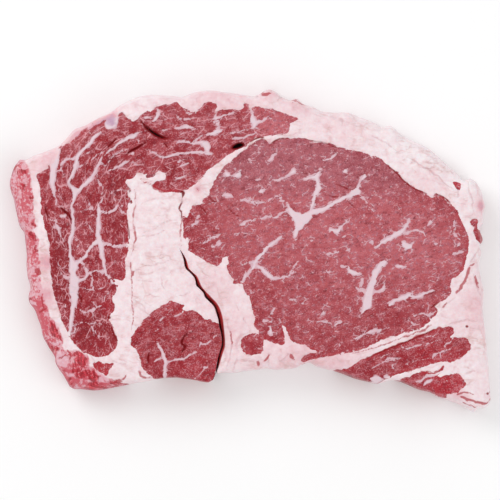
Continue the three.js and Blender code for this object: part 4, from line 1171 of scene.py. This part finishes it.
class Recipe:
    """One material and its nodes."""

    def __init__(self, name):
        self.material = bpy.data.materials.new(name)
        self.material.use_nodes = True
        self.tree = self.material.node_tree
        self.shader = self.tree.nodes["Principled BSDF"]

    def node(self, kind, settings=None, sockets=None):
        """A node of any kind, with its settings, and its sockets' values or links by name or number."""
        node = self.tree.nodes.new(kind)
        for key, value in (settings or {}).items():
            setattr(node, key, value)
        for key, value in (sockets or {}).items():
            self.feed(node.inputs[key], value)
        return node

    def feed(self, socket, value):
        """Gives a socket a plain value, or links it to a number or to another node's socket."""
        value = getattr(value, "socket", value)
        if isinstance(value, bpy.types.NodeSocket):
            self.tree.links.new(value, socket)
        else:
            socket.default_value = value

    def number(self, kind, settings=None, sockets=None, output=0):
        return Number(self, self.node(kind, settings, sockets).outputs[output])

    def math(self, operation, *terms):
        return self.number("ShaderNodeMath", {"operation": operation}, dict(enumerate(terms)))

    def attribute(self, name):
        """A number that each vertex keeps."""
        return self.number("ShaderNodeAttribute", {"attribute_name": name}, output="Fac")

    def finished(self, surface):
        """Feeds the surface's inputs, and gives the material."""
        for name, value in surface.items():
            self.feed(self.shader.inputs[name], value)
        return self.material

    def place(self):
        return self.node("ShaderNodeTexCoord").outputs["Object"]

    def flat(self, x, y):
        """A place on a level plan."""
        return self.node("ShaderNodeCombineXYZ", {}, {0: x, 1: y}).outputs[0]

    def noise(self, where, size, detail=2.0, rough=0.5):
        """Smooth noise about 0.5, with lumps of about the given size in millimetres."""
        sockets = {"Vector": where, "Scale": 1 / (size * METRES), "Detail": detail, "Roughness": rough}
        return self.number("ShaderNodeTexNoise", {}, sockets, "Fac")

    def wobble(self, where, size, detail=2.0, rough=0.5):
        """The same noise about 0, mostly from -1 to 1."""
        return (self.noise(where, size, detail, rough) - 0.5) * 4

    def cells(self, where, **settings):
        """Random flat cells of about one unit."""
        settings = {"voronoi_dimensions": "2D", **settings}
        return self.node("ShaderNodeTexVoronoi", settings, {"Vector": where, "Scale": 1.0}).outputs

    def cell_tone(self, where):
        """A random number from 0 to 1 for each such cell."""
        return self.number("ShaderNodeSeparateColor", {}, {0: self.cells(where)["Color"]})

    def cell_middle(self, where):
        """Distance to the cell's middle."""
        return Number(self, self.cells(where)["Distance"])

    def cell_edge(self, where):
        """Distance to the nearest border between cells."""
        return Number(self, self.cells(where, feature="DISTANCE_TO_EDGE")["Distance"])

    def mix(self, factor, first, second):
        """A colour between two."""
        settings = {"data_type": "RGBA", "blend_type": "MIX", "clamp_factor": True}
        return self.node("ShaderNodeMix", settings, {0: factor, 6: first, 7: second}).outputs[2]

    def laid_over(self, colour, *layers):
        """A colour with others laid over it in turn, each given as (how much of it, the colour)."""
        for amount, over in layers:
            colour = self.mix(amount, colour, over)
        return colour


def ink(red, green, blue):
    """A colour from 0 to 255 as seen, made linear by the usual display curve."""
    seen = np.array([red, green, blue]) / 255
    linear = np.where(seen <= 0.04045, seen / 12.92, ((seen + 0.055) / 1.055) ** 2.4)
    return (*linear.tolist(), 1.0)


# ------------------------------------------------ raw meat


def raw_beef():
    """Lean, fat, marbling, blood and splits, chosen by the vertices' distances and broken up by noise."""
    r = Recipe("raw_beef")
    where = r.place()
    plan_x, plan_y, height = (
        r.number("ShaderNodeSeparateXYZ", {}, {0: where}, axis) / METRES for axis in range(3)
    )
    names = "lean_edge", "vein_edge", "along", "across", "jagged", "web", "pale", "band", "bloody", "dusk"
    lean_edge, vein_edge, along, across, jagged, web, pale, band, bloody, dusk = map(r.attribute, names)
    gash_and_shade_line, inner_wall = r.attribute("gash_and_shade_line"), r.attribute("inner_wall")

    fine = r.wobble(where, 1.0, 3.0, 0.7)
    grain = r.wobble(where, 1.8, 3.0, 0.6)
    soft = r.wobble(where, 3.4, 2.0)
    broad = r.wobble(where, 11.0, 2.0)
    hue = r.wobble(where, 1.3, 2.0, 0.6)
    speck = r.wobble(where, 0.6, 1.0)
    streak = r.wobble(r.flat(along * (0.28 * METRES), across * METRES), 1.0, 2.0, 0.6)

    # Bundles of fibres are random cells drawn out along the grain. Each has its own tone, and is lean or fat
    # as a whole where fat meets lean, so that borders come out jagged.
    bundle = r.cell_tone(r.flat(along / 2.3 + soft * 0.12, across / 1.3 + grain * 0.12)) - 0.5
    border = lean_edge.at_least(-vein_edge)
    in_muscle = lean_edge.step(-0.4, -1.8) * 0.65 + 0.35
    fat = border + bundle * jagged * in_muscle + streak * 0.22 + fine * (web * 0.1 + 0.16) + grain * 0.14
    fat = fat.step(-0.12, 0.12)

    # Thin fat between the cap's bundles, more of it close to the fat around them.
    near = border.step(-3.0, -0.3)
    wide = r.cell_edge(r.flat(along / 6.5 + soft * 0.10, across / 3.0 + grain * 0.05)).step(0.065, 0.02)
    wide = wide * (broad * 0.5 + soft * 0.8 + near * 0.2 - 0.02).step(0.0, 0.3)
    thin = r.cell_edge(r.flat(along / 3.0 + grain * 0.05, across / 1.8)).step(0.10, 0.03)
    thin = thin * (soft * 0.8 + grain * 0.6 + near * 0.3 - 0.05).step(0.0, 0.4)
    web_line = (wide * 0.85).at_least(thin * 0.5) * web

    # Short pale twigs elsewhere in the lean, most of them beside a vein.
    near_vein = vein_edge.step(2.6, 0.3)
    twig = r.cell_edge(r.flat(along / 5.0 + soft * 0.06, across / 2.4 + grain * 0.05)).step(0.08, 0.03)
    twig = twig * (grain * 0.7 + soft * 0.7 + near_vein * 0.25 - 0.17).step(0.0, 0.35)
    twig = twig * jagged.step(0.35, 0.9)

    # Flecks: dots of random size, a few of them large enough to show.
    dots = r.flat(along / 2.6, across / 1.8)
    dot_size = r.cell_tone(dots).step(0.40, 1.0) * 0.24
    fleck = (dot_size - r.cell_middle(dots) + fine * 0.24).step(0.02, 0.16)
    fleck = fleck * (broad * 0.5 + soft * 0.6 + 0.35).step(0.0, 0.7)
    marbled = (fat + twig * 0.75 + fleck * (0.6 - web * 0.3)).at_most(1.0)

    # Lean: from the deep red of the cap to the pinkish eye.
    deep = pale.step(0.0, -0.3)
    crease = r.wobble(r.flat(along * (0.25 * METRES), across * METRES), 3.0, 1.0)
    crease = crease.math("ABSOLUTE").step(0.035, 0.0) * (broad + soft * 0.6).step(0.1, 0.6)
    lean_colour = r.laid_over(
        r.mix(pale * 0.75 + soft * 0.10 + broad * 0.16 + 0.08, ink(148, 25, 38), ink(198, 106, 115)),
        ((bundle * 0.9 + fine * 0.7).step(-0.1, 0.9) * (pale * 0.2 + 0.35), ink(208, 120, 126)),
        (lean_edge.step(-2.4, -0.2) * 0.4, ink(180, 46, 58)),
        (deep * 0.45, ink(126, 14, 28)),
        ((hue + soft * 0.4).step(0.0, 0.9) * (pale * 0.5 + 0.15), ink(160, 112, 130)),
        ((-hue + soft * 0.4).step(0.1, 1.0) * 0.35, ink(186, 70, 62)),
        (plan_y.step(18.0, 36.0) * (1 - web) * 0.3, ink(150, 100, 114)),
        (bloody * 0.55, ink(196, 40, 56)),
        ((fine * 0.7 + grain * 0.3 + streak * 0.6 - bundle * 0.6).step(0.0, 0.9) * 0.62, ink(108, 18, 30)),
        (thin * (1 - web) * 0.3, ink(214, 160, 168)),
        ((speck + streak * 0.3 + soft * 0.4).step(0.2, 0.6) * (0.5 - deep * 0.25), ink(214, 136, 146)),
        (crease * 0.35, ink(104, 18, 28)),
        (web_line, ink(220, 158, 167)),
    )

    # Fat: lobules with faint pink borders, greyer and pinker in places. Veins are paler than the rest.
    # Folds: faint pinkish lines in the fat, darkened with painted shade along its creases.
    fold_and_shade = (r.attribute("fold_and_shade") + fine * 0.12).step(0.35, -0.35)
    lobule = r.cell_edge(r.flat(plan_x / 13.0 + soft * 0.15, plan_y / 10.0 + broad * 0.3)).step(0.07, 0.0)
    lobule = lobule * (soft * 0.5 + broad * 0.5 + 0.3).step(0.0, 0.8)
    wrinkle = r.wobble(r.flat(plan_x * (0.35 * METRES), plan_y * METRES), 5.0, 2.0)
    wrinkle = wrinkle.math("ABSOLUTE").step(0.13, 0.0) * (broad * 0.6 + soft * 0.4).step(-0.2, 0.7)
    greyer = dusk * 0.75 + soft * 0.16 + grain * 0.14 + 0.24
    vein_colour = r.mix((-vein_edge).step(0.0, 0.8), ink(215, 174, 184), ink(228, 204, 212))
    fat_colour = r.laid_over(
        r.mix(greyer, ink(245, 234, 237), ink(225, 168, 177)),
        (lobule * 0.42, ink(216, 170, 174)),
        ((broad * 0.6 + soft * 0.4 - 0.1).step(0.0, 0.9) * 0.5, ink(232, 198, 196)),
        (wrinkle * 0.6, ink(216, 178, 176)),
        (fold_and_shade * 0.45, ink(206, 150, 156)),
        (lean_edge.step(-0.4, -1.2), vein_colour),
        ((dusk + grain * 0.3 + streak * 0.3).step(0.8, 2.2), ink(192, 150, 176)),
    )

    # The skinned side: a mottle of pale membrane, pink and blood, with painted highlights where it is wet.
    in_band = (band + grain * 0.4 + soft * 0.5).step(0.5, -0.5) * lean_edge.step(-0.3, 0.3)
    blotch = r.wobble(where, 1.2, 2.0, 0.6) * 0.7 + soft * 0.5 + bloody * 1.4 - 0.02
    strand_and_highlight = (r.attribute("strand_and_highlight") + grain * 0.2 + streak * 0.45).step(0.35, -0.3)
    wet = (r.attribute("wet") + grain * 0.3 + streak * 0.6).step(0.3, -0.35)
    membrane = r.laid_over(
        r.mix(soft * 0.4 + fine * 0.3 + 0.5, ink(218, 150, 163), ink(238, 204, 210)),
        (blotch.step(-0.25, 0.45) * 0.85, ink(200, 58, 76)),
        ((bloody + streak * 0.3 + soft * 0.2 - 0.5).step(0.0, 0.8) * 0.6, ink(206, 66, 84)),
        # pale strands, one of them a painted highlight
        (strand_and_highlight * 0.7, ink(236, 196, 208)),
        (wet * 0.9, r.mix(streak * 0.9 + fine * 0.3 + 0.4, ink(146, 8, 26), ink(220, 54, 72))),
        # painted highlights: pale flecks along the streaks, glints of the wet surface
        ((speck + streak * 0.9).step(0.5, 1.1) * 0.4, ink(238, 196, 206)),
        ((height + grain * 0.8).step(15.5, 10.5) * 0.45, ink(170, 96, 118)),
    )

    # Blood lines, some of them painted shadow along a step; the splits and the lines along the eye's upper
    # rim, painted dark as shade; and the crack's walls, with painted shade that deepens downwards and is
    # darkest halfway along.
    blood_and_shade_line = (r.attribute("blood_and_shade") + fine * 0.15 + grain * 0.15).step(0.30, -0.20)
    # Painted shade in the crack: its walls red near the top, near black deeper down, and darker still partway
    # along
    crack_wall_shade = r.mix((height + soft * 1.6).step(18.0, 23.5), ink(96, 4, 10), ink(190, 54, 56))
    crack_wall_shade = r.mix(plan_y.step(-30.0, -36.0) * plan_y.step(-48.0, -42.0) * 0.6, crack_wall_shade, ink(92, 14, 18))
    colour = r.laid_over(
        lean_colour,
        (marbled, fat_colour),
        (in_band, membrane),
        # blood lines, and painted shadow along the fat wedge's step
        (blood_and_shade_line * 0.8, ink(174, 36, 48)),
        # painted shade: the splits and the eye's rim lines dark red, near black along the middle of the wider
        # splits
        (gash_and_shade_line.step(0.40, -0.05) * 0.92, ink(134, 8, 18)),
        (gash_and_shade_line.step(-0.22, -0.55), ink(34, 0, 0)),
        # painted shade on the crack's walls
        (inner_wall, crack_wall_shade),
    )

    fibres = (bundle * 0.10 - crease * 0.10) * (1 - fat)
    furrows = lobule * 0.10 + fold_and_shade * 0.2 + wrinkle * 0.16
    relief = fine * 0.05 + grain * 0.10 + fibres + marbled * 0.06 - furrows * fat
    bump = r.node("ShaderNodeBump", {}, {"Strength": 0.9, "Distance": METRES, "Height": relief})
    matt = gash_and_shade_line.step(0.4, -0.2).at_least(inner_wall) * 0.45
    finish = {
        "Base Color": colour,
        "Roughness": 0.42 + fine * 0.06 + grain * 0.05 + marbled * 0.08 + matt,
        "Normal": bump.outputs["Normal"],
        "Coat Weight": gash_and_shade_line.step(-0.2, 0.4) * (1 - inner_wall) * 0.12,
        "Coat Roughness": 0.22,
        "IOR": 1.38,
        "Specular IOR Level": 0.32,
        "Subsurface Weight": 0.12,
        "Subsurface Radius": (1.0, 0.35, 0.25),
        "Subsurface Scale": 0.0012,
    }
    return r.finished(finish)


def pale_floor():
    """Almost white, with hardly any variation."""
    r = Recipe("pale_floor")
    tint = r.mix(r.noise(r.place(), 90.0, 1.0), ink(250, 250, 250), ink(252, 252, 252))
    return r.finished({"Base Color": tint, "Roughness": 0.8, "Specular IOR Level": 0.2})


# ------------------------------------------------ the scene


def build_steak():
    """The steak's one piece, which stands in for the solid."""
    vertices, four_sided, three_sided, found = steak_skin()
    piece = mesh_piece("steak_meat", vertices, four_sided.tolist() + three_sided.tolist(), found)
    piece.data.materials.append(raw_beef())
    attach(piece, "root")
    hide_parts("steak")


def lay_floor():
    """A square floor under the steak."""
    corners = [(x * FLOOR_HALF, y * FLOOR_HALF, 0) for x, y in ((-1, -1), (1, -1), (1, 1), (-1, 1))]
    mesh = bpy.data.meshes.new("floor")
    mesh.from_pydata(corners, [], [(0, 1, 2, 3)])
    mesh.materials.append(pale_floor())
    floor = bpy.data.objects.new("floor", mesh)
    bpy.context.scene.collection.objects.link(floor)


def softbox(name, place, size, power):
    """A square area light that faces the middle of the steak."""
    light = bpy.data.lights.new(name, "AREA")
    light.energy, light.size = power, size
    lamp = bpy.data.objects.new(name, light)
    lamp.location = place
    lamp.rotation_euler = lamp.location.to_track_quat("Z", "Y").to_euler()
    bpy.context.scene.collection.objects.link(lamp)


def light_studio():
    """A key light from the upper left, a weaker one from the lower right, and even white light all round."""
    softbox("key", (-0.9, 0.9, 1.2), 1.1, 10)
    softbox("fill", (1.1, -0.7, 1.2), 1.4, 5)
    world = bpy.data.worlds.new("studio")
    world.use_nodes = True
    background = world.node_tree.nodes["Background"]
    background.inputs["Color"].default_value = (1, 1, 1, 1)
    background.inputs["Strength"].default_value = 0.75
    bpy.context.scene.world = world
    bpy.context.scene.view_settings.view_transform = "Standard"


def place_camera():
    """Straight above the middle of the picture, which is PICTURE grid steps wide."""
    camera = bpy.data.cameras.new("camera")
    camera.sensor_width = SENSOR
    camera.lens = SENSOR * (CAMERA_HEIGHT - SHARP_HEIGHT) / (PICTURE * STEP * METRES)
    camera.clip_end = FAR_END
    middle = plan([[PICTURE / 2, PICTURE / 2]])[0] * METRES
    eye = bpy.data.objects.new("camera", camera)
    eye.location = (middle[0], middle[1], CAMERA_HEIGHT)
    bpy.context.scene.collection.objects.link(eye)
    bpy.context.scene.camera = eye


place_camera()
build_steak()
lay_floor()
light_studio()
